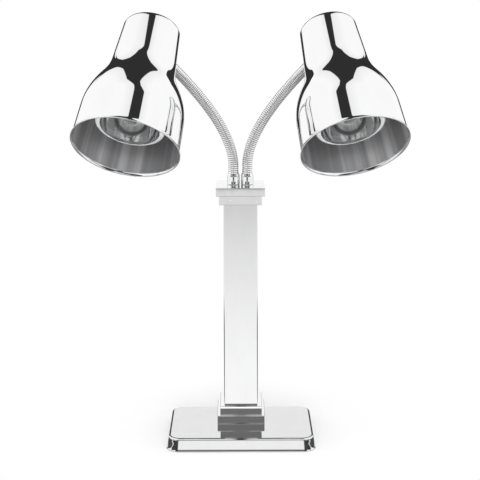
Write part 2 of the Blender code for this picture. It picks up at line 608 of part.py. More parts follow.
def head(side, word, pivot):
    place = head_frame(side)
    inward = Matrix.Rotation(math.radians(90), 4, "Y")   # local Z turned to local X
    entry = place @ Matrix.Translation((0, 0, ARM_ENTRY * MM)) @ inward
    made = []

    # spun shade: its mouth flares into a lip with a rolled hem
    outer = shade_profile(0.0, LIP_FROM, 8, 4) + lip_line(0.0)
    inner = shade_profile(SHADE_SKIN, LIP_FROM, 8, 4) + lip_line(SHADE_SKIN)
    hem_r = shade_radius(LIP_TO) + LIP_FLARE - 0.45
    hem = [(hem_r + HEM_R * math.cos(a), LIP_TO + HEM_R * math.sin(a)) for a in [math.radians(d) for d in (25, -25, -90, -155, 165)]]
    shade = turned("shade_" + word, [(0, outer[0][1])] + outer + hem + inner[::-1] + [(0, inner[0][1])], 24, "shade_steel", place)
    hole = new_cutter("shade_stem_hole_" + word, cylinder_mesh("shade_stem_hole_" + word, STEM_R + GAP, 40, 60, 20), entry)
    cut(shade, hole)
    made.append(shade)

    # ceramic lampholder, its screw shell and its centre contact
    made.append(turned("lampholder_body_" + word, [
        (0, HOLDER_TO), (HOLDER_R - 4, HOLDER_TO), (HOLDER_R - 1, HOLDER_TO - 3), (HOLDER_R - 1, HOLDER_TO - 14),
        (HOLDER_R, HOLDER_TO - 15), (HOLDER_R, HOLDER_FROM + 2), (HOLDER_R - 1.5, HOLDER_FROM), (HOLDER_BORE_R + 1, HOLDER_FROM),
        (HOLDER_BORE_R, HOLDER_FROM + 1), (HOLDER_BORE_R, HOLDER_BORE_TO), (0, HOLDER_BORE_TO),
    ], 16, "ceramic", place))
    made.append(turned("lampholder_shell_" + word, [
        (SHELL_R, HOLDER_BORE_TO - 4), (SHELL_R, HOLDER_FROM + 2), (SHELL_R - SHELL_THICK, HOLDER_FROM + 2), (SHELL_R - SHELL_THICK, HOLDER_BORE_TO - 4),
    ], 16, "brass", place, closed=True))
    made.append(turned("lampholder_contact_" + word, [
        (0, HOLDER_BORE_TO - GAP), (4.0, HOLDER_BORE_TO - GAP), (4.0, HOLDER_BORE_TO - 1.3), (2.4, HOLDER_BORE_TO - 2.6), (0, HOLDER_BORE_TO - 2.6),
    ], 12, "brass", place))

    # angle bracket: one leg on the lampholder, the other clamped to the shade by the arm's nut
    inside = shade_radius(ARM_ENTRY) - SHADE_SKIN
    tab_x = math.sqrt((inside - 1.6) ** 2 - BRACKET_HALF_WIDTH ** 2) - 0.5
    low = HOLDER_TO + GAP
    arm = new_object("holder_bracket_" + word, box_mesh(
        "holder_bracket", (tab_x + 13, 2 * BRACKET_HALF_WIDTH, BRACKET_THICK), ((tab_x - 13) / 2, 0, low + BRACKET_THICK / 2)), "plain_steel", place)
    tab = new_cutter("bracket_tab_" + word, box_mesh(
        "bracket_tab", (BRACKET_THICK, 2 * BRACKET_HALF_WIDTH, low + BRACKET_THICK - (ARM_ENTRY - 9)),
        (tab_x - BRACKET_THICK / 2, 0, (low + BRACKET_THICK + ARM_ENTRY - 9) / 2)), place)
    cut(arm, tab, "UNION")
    cut(arm, new_cutter("bracket_stem_hole_" + word, cylinder_mesh("bracket_stem_hole_" + word, STEM_R + GAP, tab_x - 6, tab_x + 4, 20), entry))
    holder = made[1]
    for sign, letter in ((-1, "a"), (1, "b")):
        spot = place @ Matrix.Translation((0, sign * 6.0 * MM, 0))
        name = "holder_screw_%s_%s" % (letter, word)
        hole = new_cutter(name + "_hole", cylinder_mesh(name + "_hole", 1.8, HOLDER_TO - 5.5, low + 5, 12), spot)
        cut(arm, hole)
        cut(holder, hole)
        top = low + BRACKET_THICK + GAP
        made.append(turned(name, [(0, top + 2.0), (1.8, top + 1.9), (2.8, top + 1.1), (2.8, top), (1.45, top), (1.45, HOLDER_TO - 5.0), (0, HOLDER_TO - 5.0)], 12, "plain_steel", spot))
    made.append(arm)

    # end ferrule of the gooseneck: shoulder outside the shade, hollow stem and nut inside
    face = shade_radius(ARM_ENTRY) + 1.4
    made.append(turned("gooseneck_end_ferrule_" + word, [
        (WIRE_BORE_R, face + FERRULE_HEIGHT + FOOT_STUB + BALL_R * 0.92)] + ball_end(face + FERRULE_HEIGHT + FOOT_STUB) + [
        (HOSE_R - 0.6, face + FERRULE_HEIGHT + 4.6), (HOSE_R, face + FERRULE_HEIGHT + 3.8), (HOSE_R, face + FERRULE_HEIGHT), (FERRULE_R, face + FERRULE_HEIGHT - 4.5), (FERRULE_R, face + 0.8), (FERRULE_R - 0.8, face),
        (STEM_R, face), (STEM_R, tab_x - 8), (WIRE_BORE_R, tab_x - 8),
    ], 12, "polished_steel", entry, closed=True))
    made.append(hex_nut("gooseneck_lock_nut_" + word, NIPPLE_NUT_FLATS, tab_x - BRACKET_THICK - GAP - NIPPLE_NUT_HEIGHT, tab_x - BRACKET_THICK - GAP, STEM_R + 0.25, "brass", entry))

    # infrared reflector lamp
    outline = bulb_outer(5)
    inner_line = []
    for i, (r, s) in enumerate(outline):
        r0, s0 = outline[max(0, i - 1)]
        r1, s1 = outline[min(len(outline) - 1, i + 1)]
        dr, ds = r1 - r0, s1 - s0
        n = math.hypot(dr, ds)
        inner_line.append((max(0.0, r - BULB_WALL * ds / n), s + BULB_WALL * dr / n))
    inner_line[0] = (0.0, outline[0][1] + BULB_WALL)
    inner_line[-1] = (outline[-1][0] - BULB_WALL, BULB_GLASS_TO)
    made.append(turned("bulb_glass_" + word, inner_line + outline[::-1], 18, "bulb_glass", place))
    cap_low, cap_r = BULB_GLASS_TO + GAP, BULB_CAP_R
    made.append(turned("bulb_cap_" + word, [
        (0, BULB_CAP_TO + 4.0), (3.6, BULB_CAP_TO + 3.6), (5.0, BULB_CAP_TO + 2.0), (10.0, BULB_CAP_TO), (cap_r - 0.7, BULB_CAP_TO - 2.5),
        (cap_r, BULB_CAP_TO - 4.0), (cap_r, cap_low + 5.0), (cap_r - 0.4, cap_low + 1.5), (cap_r, cap_low), (0, cap_low),
    ], 16, "nickel", place))

    # lead-in wires and coiled filament, made as one bent wire
    wire = []
    turns, per_turn, half_span, coil_r, coil_s = 5, 8, 11.0, 2.6, 83.0
    wire.append((-5.0, 0, BULB_GLASS_TO - 1.5))
    wire.append((-5.0, 0, BULB_GLASS_TO - 30))
    wire.append((-half_span - 2, 0, coil_s + 12))
    wire.append((-half_span - 2, coil_r, coil_s))
    for i in range(turns * per_turn + 1):
        a = 2 * math.pi * i / per_turn
        wire.append((-half_span + 2 * half_span * i / (turns * per_turn), coil_r * math.cos(a), coil_s + coil_r * math.sin(a)))
    wire.append((half_span + 2, coil_r, coil_s))
    wire.append((half_span + 2, 0, coil_s + 12))
    wire.append((5.0, 0, BULB_GLASS_TO - 30))
    wire.append((5.0, 0, BULB_GLASS_TO - 1.5))
    filament = tube("bulb_filament_" + word, wire, 0.55, "tungsten", 0)
    filament.matrix_world = place
    made.append(filament)

    hang_from(pivot, made, "head_%s_pivot" % word)


# ---------------------------------------------------------------- goosenecks
def ball_end(centre):
    """Outer profile of a ball on a slim neck, top to bottom."""
    return [(BALL_R * math.cos(math.radians(d)), centre + BALL_R * math.sin(math.radians(d))) for d in (50, 25, 0, -25, -50)] + [
        (3.5, centre - 5.6), (3.5, centre - 6.9), (HOSE_R - 1.2, centre - 7.1)]


def socket_end(centre):
    """Inner profile of a cup that holds a ball, from its mouth up to the wire channel."""
    return [(SOCKET_R * math.cos(math.radians(d)), centre + SOCKET_R * math.sin(math.radians(d))) for d in (-31, -5, 22, 48)] + [
        (WIRE_BORE_R, centre + SOCKET_R * 0.96)]


def hose_curve(side):
    """Centre line of a gooseneck from its first joint to its last, in mm."""
    place = head_frame(side)
    entry = Vector(place.col[0][:3])
    reach = shade_radius(ARM_ENTRY) + 1.4 + FERRULE_HEIGHT + FOOT_STUB
    start = Vector((side * ARM_SPACING / 2, 0, Z_HOSE + FOOT_STUB))
    end = place @ Vector((reach * MM, 0, ARM_ENTRY * MM)) / MM
    first = start + Vector((0, 0, HOSE_RISE))
    second = end + entry * HOSE_REACH

    def at(t):
        return start * (1 - t) ** 3 + first * (3 * (1 - t) ** 2 * t) + second * (3 * (1 - t) * t ** 2) + end * t ** 3

    return at


def joint_points(side, samples=400):
    """Where the gooseneck's joints stand along its centre line, in mm."""
    at = hose_curve(side)
    points = [at(i / samples) for i in range(samples + 1)]
    lengths = [0.0]
    for a, b in zip(points, points[1:]):
        lengths.append(lengths[-1] + (b - a).length)
    wanted = [lengths[-1] * i / (JOINTS_PER_ARM - 1) for i in range(JOINTS_PER_ARM)]
    found = []
    for w in wanted:
        i = max(k for k in range(samples) if lengths[k] <= w + 1e-9)
        found.append(points[i].lerp(points[i + 1], (w - lengths[i]) / (lengths[i + 1] - lengths[i])))
    return found


def gooseneck(side, word):
    place = Matrix.Translation((side * ARM_SPACING / 2 * MM, 0, 0))
    nodes = joint_points(side)

    # foot ferrule on the cap: hollow stem, smooth sleeve, tapered shoulder and the first ball
    top = Z_HOSE + FOOT_STUB
    turned("gooseneck_foot_ferrule_" + word, [
        (WIRE_BORE_R, top + BALL_R * 0.92)] + ball_end(top) + [
        (HOSE_R - 0.6, Z_HOSE + 4.6), (HOSE_R, Z_HOSE + 3.8), (HOSE_R, Z_HOSE), (FERRULE_R, Z_HOSE - 4.5), (FERRULE_R, Z_CAP_TOP + GAP + 0.8), (FERRULE_R - 0.8, Z_CAP_TOP + GAP),
        (STEM_R, Z_CAP_TOP + GAP), (STEM_R, Z_CAP_STEP - TIER_WEB - 8), (WIRE_BORE_R, Z_CAP_STEP - TIER_WEB - 8),
    ], 12, "polished_steel", place, closed=True)
    nut_top = Z_CAP_STEP - TIER_WEB - GAP
    hex_nut("gooseneck_foot_nut_" + word, NIPPLE_NUT_FLATS, nut_top - NIPPLE_NUT_HEIGHT, nut_top, STEM_R + 0.25, "brass", place)

    # rigid links that stand for the wound steel hose, ball and socket at each joint
    for i in range(JOINTS_PER_ARM - 1):
        a, b = nodes[i], nodes[i + 1]
        length = (b - a).length
        last = i == JOINTS_PER_ARM - 2
        name = "gooseneck_link_%d_%s" % (i + 1, word)
        mouth = socket_end(0.0)
        if last:
            # the last link is a double cup, over the ball of the end ferrule
            far = [(r, length - z) for r, z in mouth]
            profile = [(WIRE_BORE_R, far[-1][1])] + far[:-1][::-1] + [
                (HOSE_R - 0.8, length + 3.4), (HOSE_R, length + 2.2), (HOSE_R, -2.2), (HOSE_R - 0.8, -3.4)] + mouth
        else:
            profile = [(WIRE_BORE_R, length + BALL_R * 0.92)] + ball_end(length) + [
                (HOSE_R, length - 8.6), (HOSE_R, -2.2), (HOSE_R - 0.8, -3.4)] + mouth
        turned(name, profile, 10, "hose_steel", frame_of(a, (0, 1, 0), b - a), closed=True)
    return nodes


def hang_from(point, objects, name):
    """Parent pieces to an empty that stands on their joint's axis."""
    empty = bpy.data.objects.new(name, None)
    PARTS.objects.link(empty)
    empty.empty_display_size = 0.02
    empty.location = Vector(point) * MM
    bpy.context.view_layer.update()
    for obj in objects:
        world = obj.matrix_world.copy()
        obj.parent = empty
        obj.matrix_parent_inverse = empty.matrix_world.inverted()
        obj.matrix_world = world


base()
column()
electrics()
for side, word in ((-1, "left"), (1, "right")):
    nodes = gooseneck(side, word)
    head(side, word, nodes[-1])
bpy.context.view_layer.update()
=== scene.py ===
"""Looks of the twin heat lamp food warmer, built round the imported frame. Metres, +Z up, front towards -Y."""
import json
import math

import bmesh
import bpy
import numpy as np
from mathutils import Matrix, Vector

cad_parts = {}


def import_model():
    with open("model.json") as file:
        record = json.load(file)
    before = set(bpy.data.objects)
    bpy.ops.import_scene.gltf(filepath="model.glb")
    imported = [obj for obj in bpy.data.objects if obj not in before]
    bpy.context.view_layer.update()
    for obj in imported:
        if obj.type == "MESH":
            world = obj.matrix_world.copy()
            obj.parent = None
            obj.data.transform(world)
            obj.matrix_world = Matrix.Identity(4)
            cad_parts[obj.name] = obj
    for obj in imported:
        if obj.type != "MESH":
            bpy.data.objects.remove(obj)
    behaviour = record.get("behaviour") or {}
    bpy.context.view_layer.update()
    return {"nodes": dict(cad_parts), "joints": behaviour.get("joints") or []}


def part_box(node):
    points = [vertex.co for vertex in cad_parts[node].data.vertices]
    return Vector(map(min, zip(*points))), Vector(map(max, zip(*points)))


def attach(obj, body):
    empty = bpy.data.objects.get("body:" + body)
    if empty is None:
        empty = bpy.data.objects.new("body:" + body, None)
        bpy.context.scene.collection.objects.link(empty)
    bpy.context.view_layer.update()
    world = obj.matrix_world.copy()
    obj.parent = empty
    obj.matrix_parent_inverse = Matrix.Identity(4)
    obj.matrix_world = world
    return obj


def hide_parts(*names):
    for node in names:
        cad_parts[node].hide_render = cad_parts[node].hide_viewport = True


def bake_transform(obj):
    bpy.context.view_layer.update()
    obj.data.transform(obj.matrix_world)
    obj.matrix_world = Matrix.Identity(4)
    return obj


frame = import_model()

MM = 0.001
scene = bpy.context.scene


# ---------------------------------------------------------------- where things are
def points_of(node):
    """The node's own corner points, each once."""
    co = np.array([v.co for v in frame["nodes"][node].data.vertices], float).reshape(-1, 3)
    _, first = np.unique(np.round(co, 6), axis=0, return_index=True)
    return co[np.sort(first)]


def centre_of(node):
    return points_of(node).mean(axis=0)


def joint_place(name):
    for joint in frame["joints"]:
        if joint["name"] == name:
            return Vector(joint["position_m"] if "position_m" in joint else joint["pos_m"])
    raise KeyError(name)


LIP_FROM, LIP_TO, LIP_FLARE, HEM_R = 5.0, -1.3, 1.7, 0.95
BELOW_MOUTH = 3.55


def matrix_from(origin, x_axis, z_axis):
    z = Vector(z_axis).normalized()
    x = Vector(x_axis)
    x = (x - z * z.dot(x)).normalized()
    y = z.cross(x)
    m = Matrix((x, y, z)).transposed().to_4x4()
    m.translation = Vector(origin)
    return m


def head_place(word):
    """Local Z runs from the shade's mouth to its crown, local X towards the gooseneck's entry; origin in the mouth."""
    lamp, cap = centre_of("bulb_glass_" + word), centre_of("bulb_cap_" + word)
    axis = cap - lamp
    axis /= np.linalg.norm(axis)
    # the hem of the lip hangs this far below the plane that heights are measured from
    low = ((points_of("shade_" + word) - lamp) @ axis).min() + BELOW_MOUTH * MM
    origin = lamp + axis * low
    side = centre_of("gooseneck_lock_nut_" + word) - origin
    return matrix_from(origin, side, axis), float(side @ axis)


HEAD = {}
ENTRY_HEIGHT = {}
for word in ("left", "right"):
    HEAD[word], ENTRY_HEIGHT[word] = head_place(word)

cover_low, cover_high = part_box("base_cover")
column_low, column_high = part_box("column_tube")
COLUMN_HALF = (column_high.x - column_low.x) / 2
Z_TOP_OF_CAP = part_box("cap_upper_tier")[1].z


# ---------------------------------------------------------------- materials
class Look:
    """A node material with short names for what its graph is made of."""

    def __init__(self, name, colour, roughness, metallic=0.0):
        self.material = bpy.data.materials.new(name)
        self.material.use_nodes = True
        self.tree = self.material.node_tree
        self.shader = self.tree.nodes["Principled BSDF"]
        self.shader.inputs["Base Color"].default_value = (*colour, 1.0)
        self.shader.inputs["Roughness"].default_value = roughness
        self.shader.inputs["Metallic"].default_value = metallic
        self.colour, self.roughness = colour, roughness
        place = self.tree.nodes.new("ShaderNodeAttribute")
        place.attribute_name = "own_place"
        self.coords = place.outputs["Vector"]
        self.height = None

    def node(self, kind, values=None, **settings):
        made = self.tree.nodes.new(kind)
        for key, value in settings.items():
            setattr(made, key, value)
        for key, value in (values or {}).items():
            if isinstance(value, bpy.types.NodeSocket):
                self.tree.links.new(value, made.inputs[key])
            else:
                made.inputs[key].default_value = value
        return made

    def stretched(self, scale):
        return self.node("ShaderNodeMapping", {"Vector": self.coords, "Scale": scale}).outputs["Vector"]

    def noise(self, scale, detail=4.0, stretch=None, rough=0.55, distortion=0.0):
        where = self.stretched(stretch) if stretch else self.coords
        return self.node("ShaderNodeTexNoise", {
            "Vector": where, "Scale": scale, "Detail": detail, "Roughness": rough, "Distortion": distortion}).outputs["Fac"]

    def ranged(self, value, low, high, to_low=0.0, to_high=1.0, smooth=False):
        return self.node("ShaderNodeMapRange", {
            "Value": value, "From Min": low, "From Max": high, "To Min": to_low, "To Max": to_high},
            interpolation_type="SMOOTHSTEP" if smooth else "LINEAR").outputs["Result"]

    def maths(self, operation, *values):
        made = self.node("ShaderNodeMath", operation=operation)
        for i, value in enumerate(values):
            if isinstance(value, bpy.types.NodeSocket):
                self.tree.links.new(value, made.inputs[i])
            else:
                made.inputs[i].default_value = value
        return made.outputs[0]

    def colours(self, factor, first, second):
        made = self.node("ShaderNodeMix", data_type="RGBA")
        self.tree.links.new(factor, made.inputs[0])
        for i, value in ((6, first), (7, second)):
            if isinstance(value, bpy.types.NodeSocket):
                self.tree.links.new(value, made.inputs[i])
            else:
                made.inputs[i].default_value = (*value, 1.0)
        return made.outputs[2]

    def set(self, name, value):
        if isinstance(value, bpy.types.NodeSocket):
            self.tree.links.new(value, self.shader.inputs[name])
        else:
            self.shader.inputs[name].default_value = value
        return self

    def bump(self, height, distance, strength=1.0):
        values = {"Height": height, "Distance": distance, "Strength": strength}
        if self.height is not None:
            values["Normal"] = self.height
        self.height = self.node("ShaderNodeBump", values).outputs["Normal"]
        return self.set("Normal", self.height)


def polished(name, colour, roughness, wave=0.00002, grain=None, haze=0.0):
    """Polished sheet: faint rolling waves, wipe marks and hairline scratches in the gloss, and a little milky haze."""
    look = Look(name, colour, roughness, 1.0 - haze)
    wipes = look.noise(34.0, 5.0, (1.0, 1.0, 0.35), 0.6, 0.8)
    hair = look.noise(900.0, 3.0, grain or (1.0, 1.0, 0.03), 0.7)
    gloss = look.maths("ADD", look.ranged(wipes, 0.42, 0.75, 0.0, 0.035), look.ranged(hair, 0.56, 0.8, 0.0, 0.05))
    look.set("Roughness", look.maths("ADD", gloss, roughness))
    look.set("Base Color", look.colours(look.ranged(wipes, 0.3, 0.8), colour, tuple(c * 0.965 for c in colour)))
    look.bump(look.noise(9.0, 1.0, None, 0.4), wave)
    look.bump(hair, 0.0000015)
    return look


def chrome_shade():
    return polished("polished_shade_steel", (0.93, 0.93, 0.935), 0.012, 0.000012)


def satin_inside():
    """Turned, unpolished inside of the shade: fine rings round the axis smear every light along the profile, and
    painted highlight streaks along the profile swing its colour from dark to nearly white round the axis.
    """
    look = Look("turned_satin_steel", (0.56, 0.56, 0.57), 0.40, 0.86)
    parts = look.node("ShaderNodeSeparateXYZ", {"Vector": look.coords})
    x, y, z = parts.outputs[0], parts.outputs[1], parts.outputs[2]
    flat = look.node("ShaderNodeCombineXYZ", {"X": x, "Y": y, "Z": 0.0}).outputs[0]
    around = look.node("ShaderNodeVectorMath", {0: flat}, operation="NORMALIZE").outputs[0]
    # painted highlight streaks: a noise that changes only round the axis, so each streak runs along the profile
    painted_streak_place = look.node("ShaderNodeVectorMath", {0: around, 1: (1.9, 1.9, 1.9)}, operation="MULTIPLY").outputs[0]
    painted_streaks = look.node("ShaderNodeTexNoise", {"Vector": painted_streak_place, "Scale": 1.2, "Detail": 3.0, "Roughness": 0.5}).outputs["Fac"]
    rings = look.node("ShaderNodeTexNoise", {
        "Vector": look.node("ShaderNodeCombineXYZ", {"X": look.maths("MULTIPLY", z, 2600.0), "Y": 0.0, "Z": 0.0}).outputs[0],
        "Scale": 1.0, "Detail": 4.0, "Roughness": 0.75}).outputs["Fac"]
    # painted highlight and painted shade: the streaks colour the inside from dark grey to nearly white
    painted_streak_tone = look.colours(look.ranged(painted_streaks, 0.40, 0.60, smooth=True), (0.26, 0.26, 0.27), (0.98, 0.98, 0.99))
    look.set("Base Color", look.colours(look.ranged(rings, 0.3, 0.75), painted_streak_tone, (0.62, 0.62, 0.63)))
    look.set("Roughness", look.maths("ADD", look.ranged(rings, 0.3, 0.7, 0.0, 0.08), 0.38))
    look.set("Anisotropic", 0.6)
    look.set("Anisotropic Rotation", 0.25)
    look.set("Tangent", look.node("ShaderNodeTangent", direction_type="UV_MAP", uv_map="turned").outputs[0])
    look.bump(rings, 0.000004)
    return look


def hose_metal():
    """Wound steel strip: glossy on the crowns of the winding and rougher down in the grooves, with painted shade
    colouring the grooves black.
    """
    look = Look("wound_steel", (0.80, 0.80, 0.81), 0.2, 1.0)
    crown_height_and_groove_shade = look.node("ShaderNodeAttribute", attribute_name="winding").outputs["Fac"]
    dirt = look.noise(160.0, 4.0)
    # painted shade: black down in the grooves and in the bore, near white on the crowns
    look.set("Base Color", look.colours(look.ranged(crown_height_and_groove_shade, 0.25, 0.92, smooth=True), (0.0, 0.0, 0.0), (0.99, 0.99, 0.995)))
    look.set("Roughness", look.maths("ADD", look.ranged(dirt, 0.35, 0.75, 0.0, 0.10), look.ranged(crown_height_and_groove_shade, 0.0, 0.7, 0.40, 0.09)))
    look.bump(look.noise(1400.0, 2.0), 0.00002)
    return look


def plain_metal(name, colour, roughness, scale=220.0, bump=0.00002):
    look = Look(name, colour, roughness, 1.0)
    cloud = look.noise(scale, 5.0)
    look.set("Base Color", look.colours(look.ranged(cloud, 0.3, 0.72), tuple(c * 0.72 for c in colour), colour))
    look.set("Roughness", look.ranged(cloud, 0.3, 0.75, roughness * 1.35, roughness * 0.75))
    look.bump(look.noise(scale * 5, 3.0), bump)
    return look


def turned_metal(name, colour, roughness):
    """Lathe-finished metal with fine rings round its own Z axis."""
    look = plain_metal(name, colour, roughness, 120.0)
    rings = look.noise(1.0, 3.0, (20.0, 20.0, 5200.0), 0.7)
    look.bump(rings, 0.000008)
    return look


def cast_metal():
    look = Look("cast_ballast_iron", (0.055, 0.055, 0.058), 0.72, 0.35)
    look.set("Base Color", look.colours(look.ranged(look.noise(60.0, 6.0), 0.35, 0.7), (0.035, 0.034, 0.034), (0.11, 0.095, 0.085)))
    look.bump(look.noise(420.0, 5.0), 0.0004)
    return look


def rubber(name, colour, roughness, grain=900.0, bump=0.00006):
    look = Look(name, colour, roughness, 0.0)
    dust = look.noise(55.0, 6.0)
    look.set("Base Color", look.colours(look.ranged(dust, 0.4, 0.78), colour, tuple(c + 0.035 for c in colour)))
    look.set("Roughness", look.ranged(dust, 0.3, 0.75, roughness - 0.08, roughness + 0.08))
    look.set("Specular IOR Level", 0.35)
    look.bump(look.noise(grain, 3.0), bump)
    return look


def plastic(name, colour, roughness):
    look = Look(name, colour, roughness, 0.0)
    cells = look.node("ShaderNodeTexVoronoi", {"Vector": look.coords, "Scale": 1500.0}).outputs["Distance"]
    cloud = look.noise(70.0, 4.0)
    look.set("Base Color", look.colours(look.ranged(cloud, 0.35, 0.7), colour, tuple(min(1.0, c * 1.12 + 0.004) for c in colour)))
    look.set("Roughness", look.ranged(cloud, 0.3, 0.75, roughness - 0.06, roughness + 0.08))
    look.bump(cells, 0.00003)
    return look


def ceramic():
    look = Look("glazed_ceramic", (0.86, 0.84, 0.80), 0.24, 0.0)
    specks = look.noise(700.0, 2.0)
    look.set("Base Color", look.colours(look.ranged(specks, 0.66, 0.74), (0.87, 0.85, 0.81), (0.60, 0.55, 0.47)))
    look.set("Coat Weight", 0.5)
    look.set("Coat Roughness", 0.08)
    look.bump(look.noise(120.0, 3.0), 0.00008)
    return look


def clear_glass():
    look = Look("pressed_lamp_glass", (0.97, 0.98, 0.98), 0.02, 0.0)
    look.set("Transmission Weight", 1.0)
    look.set("IOR", 1.47)
    ripple = look.noise(26.0, 2.0)
    look.set("Roughness", look.ranged(look.noise(300.0, 3.0), 0.4, 0.8, 0.0, 0.03))
    look.bump(ripple, 0.00002)
    return look


def frosted_ring():
    """Etched outer ring of the lamp's front: satin, with fine concentric marks."""
    look = Look("etched_lamp_ring", (0.74, 0.74, 0.75), 0.34, 0.55)
    parts = look.node("ShaderNodeSeparateXYZ", {"Vector": look.coords})
    flat = look.node("ShaderNodeCombineXYZ", {"X": parts.outputs[0], "Y": parts.outputs[1], "Z": 0.0}).outputs[0]
    radius = look.node("ShaderNodeVectorMath", {0: flat}, operation="LENGTH").outputs["Value"]
    marks = look.node("ShaderNodeTexNoise", {
        "Vector": look.node("ShaderNodeCombineXYZ", {"X": look.maths("MULTIPLY", radius, 1900.0), "Y": 0.0, "Z": 0.0}).outputs[0],
        "Scale": 1.0, "Detail": 3.0, "Roughness": 0.7}).outputs["Fac"]
    look.set("Base Color", look.colours(look.ranged(marks, 0.3, 0.7), (0.66, 0.66, 0.67), (0.94, 0.94, 0.95)))
    look.set("Roughness", look.ranged(marks, 0.3, 0.7, 0.24, 0.36))
    look.bump(marks, 0.00005)
    return look


def silvering():
    look = Look("evaporated_silvering", (0.90, 0.90, 0.90), 0.06, 1.0)
    cloud = look.noise(28.0, 3.0)
    look.set("Base Color", look.colours(look.ranged(cloud, 0.3, 0.75), (0.87, 0.87, 0.87), (0.93, 0.93, 0.93)))
    look.set("Roughness", look.ranged(cloud, 0.3, 0.75, 0.05, 0.10))
    look.bump(look.noise(9.0, 1.0), 0.00003)
    return look


def tungsten():
    look = Look("tungsten_wire", (0.32, 0.31, 0.30), 0.42, 1.0)
    look.set("Roughness", look.ranged(look.noise(3000.0, 2.0), 0.3, 0.7, 0.3, 0.55))
    look.bump(look.noise(5000.0, 2.0), 0.00001)
    return look


M = {
    "shade": chrome_shade(),
    "inside": satin_inside(),
    "base": polished("polished_base_steel", (0.82, 0.82, 0.825), 0.022, 0.00001, (0.03, 1.0, 1.0), 0.015),
    "column": polished("polished_column_steel", (0.92, 0.92, 0.925), 0.03, 0.000008, (1.0, 1.0, 0.02)),
    "tier": polished("polished_tier_steel", (0.97, 0.97, 0.97), 0.03, 0.000006, (0.03, 1.0, 1.0), 0.03),
    "ferrule": polished("polished_ferrule", (0.92, 0.92, 0.925), 0.03, 0.00001),
    "hose": hose_metal(),
    "zinc": plain_metal("zinc_plated_steel", (0.62, 0.63, 0.65), 0.32),
    "brass": turned_metal("turned_brass", (0.80, 0.58, 0.26), 0.24),
    "nickel": turned_metal("nickel_plate", (0.70, 0.68, 0.64), 0.22),
    "iron": cast_metal(),
    "pad": rubber("base_pad_rubber", (0.020, 0.020, 0.021), 0.82, 500.0, 0.00025),
    "cord": rubber("cord_rubber", (0.016, 0.016, 0.017), 0.55),
    "black": plastic("black_moulding", (0.018, 0.018, 0.019), 0.36),
    "white": plastic("white_moulding", (0.80, 0.79, 0.76), 0.42),
    "ceramic": ceramic(),
    "glass": clear_glass(),
    "frost": frosted_ring(),
    "silver": silvering(),
    "tungsten": tungsten(),
}


# ---------------------------------------------------------------- building
def settle(obj):
    """Keeps each point's place on the piece as an attribute, then puts the mesh where it stands."""
    mesh = obj.data
    if "own_place" not in mesh.attributes:
        co = np.empty(len(mesh.vertices) * 3, np.float32)
        mesh.vertices.foreach_get("co", co)
        mesh.attributes.new("own_place", "FLOAT_VECTOR", "POINT").data.foreach_set("vector", co)
    mesh.transform(obj.matrix_world)
    obj.matrix_world = Matrix.Identity(4)


def even_normals(obj):
    """Shades large faces flat and lets the rounded edges take all of the turn."""
    modifier = obj.modifiers.new("even_normals", "WEIGHTED_NORMAL")
    modifier.mode = "FACE_AREA"
    modifier.weight = 50
    modifier.keep_sharp = True


def finish_piece(obj, looks, body, nodes, angle=32.0):
    if body:
        settle(obj)
    # clearing the slots resets every face to the first of them
    worn = np.zeros(len(obj.data.polygons), np.int32)
    obj.data.polygons.foreach_get("material_index", worn)
    obj.data.materials.clear()
    for look in looks:
        obj.data.materials.append(M[look].material)
    obj.data.polygons.foreach_set("material_index", np.minimum(worn, len(looks) - 1))
    if angle is not None:
        obj.data.shade_smooth()
        obj.data.set_sharp_from_angle(angle=math.radians(angle))
    if body:
        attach(obj, body)
    if nodes:
        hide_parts(*nodes)
    return obj


def object_from(name, bm, matrix=None):
    mesh = bpy.data.meshes.new(name)
    bmesh.ops.recalc_face_normals(bm, faces=bm.faces)
    bm.to_mesh(mesh)
    bm.free()
    obj = bpy.data.objects.new(name, mesh)
    scene.collection.objects.link(obj)
    if matrix is not None:
        obj.matrix_world = matrix
    return obj


def lathe_mesh(profile, segments, closed=False, radius_at=None, skins=None):
    """Turned mesh about local Z from (radius, height) in metres; ends on the axis, or closes on itself.
    skins gives a material number per profile step."""
    bm = bmesh.new()
    uv = bm.loops.layers.uv.new("turned")
    rings = []
    for i, (r, z) in enumerate(profile):
        if r < 1e-7:
            rings.append([bm.verts.new((0, 0, z))])
            continue
        ring = []
        for k in range(segments):
            a = 2 * math.pi * k / segments
            rr = radius_at(i, r, z, a) if radius_at else r
            ring.append(bm.verts.new((rr * math.cos(a), rr * math.sin(a), z)))
        rings.append(ring)
    pairs = [(i, i + 1) for i in range(len(rings) - 1)] + ([(len(rings) - 1, 0)] if closed else [])
    for n, (i, j) in enumerate(pairs):
        a, b = rings[i], rings[j]
        skin = skins[n] if skins else 0
        for k in range(segments):
            m = (k + 1) % segments
            if len(a) == 1 and len(b) == 1:
                continue
            if len(a) == 1:
                face = bm.faces.new((a[0], b[k], b[m]))
            elif len(b) == 1:
                face = bm.faces.new((a[k], b[0], a[m]))
            else:
                face = bm.faces.new((a[k], b[k], b[m], a[m]))
            face.material_index = skin
            for loop in face.loops:
                co = loop.vert.co
                u = (math.atan2(co.y, co.x) / (2 * math.pi)) % 1.0 if math.hypot(co.x, co.y) > 1e-7 else (k + 0.5) / segments
                if u < 1e-6 and k == segments - 1:
                    u = 1.0
                loop[uv].uv = (u, co.z * 4.0)
    return bm


def lathe(name, profile, segments, matrix, looks, body, nodes, closed=False, angle=32.0, radius_at=None, skins=None):
    points = [(r * MM, z * MM) for r, z in profile]
    wrap = (lambda i, r, z, a: radius_at(i, r / MM, z / MM, a) * MM) if radius_at else None
    obj = object_from(name, lathe_mesh(points, segments, closed, wrap, skins), matrix)
    return finish_piece(obj, looks, body, nodes, angle)


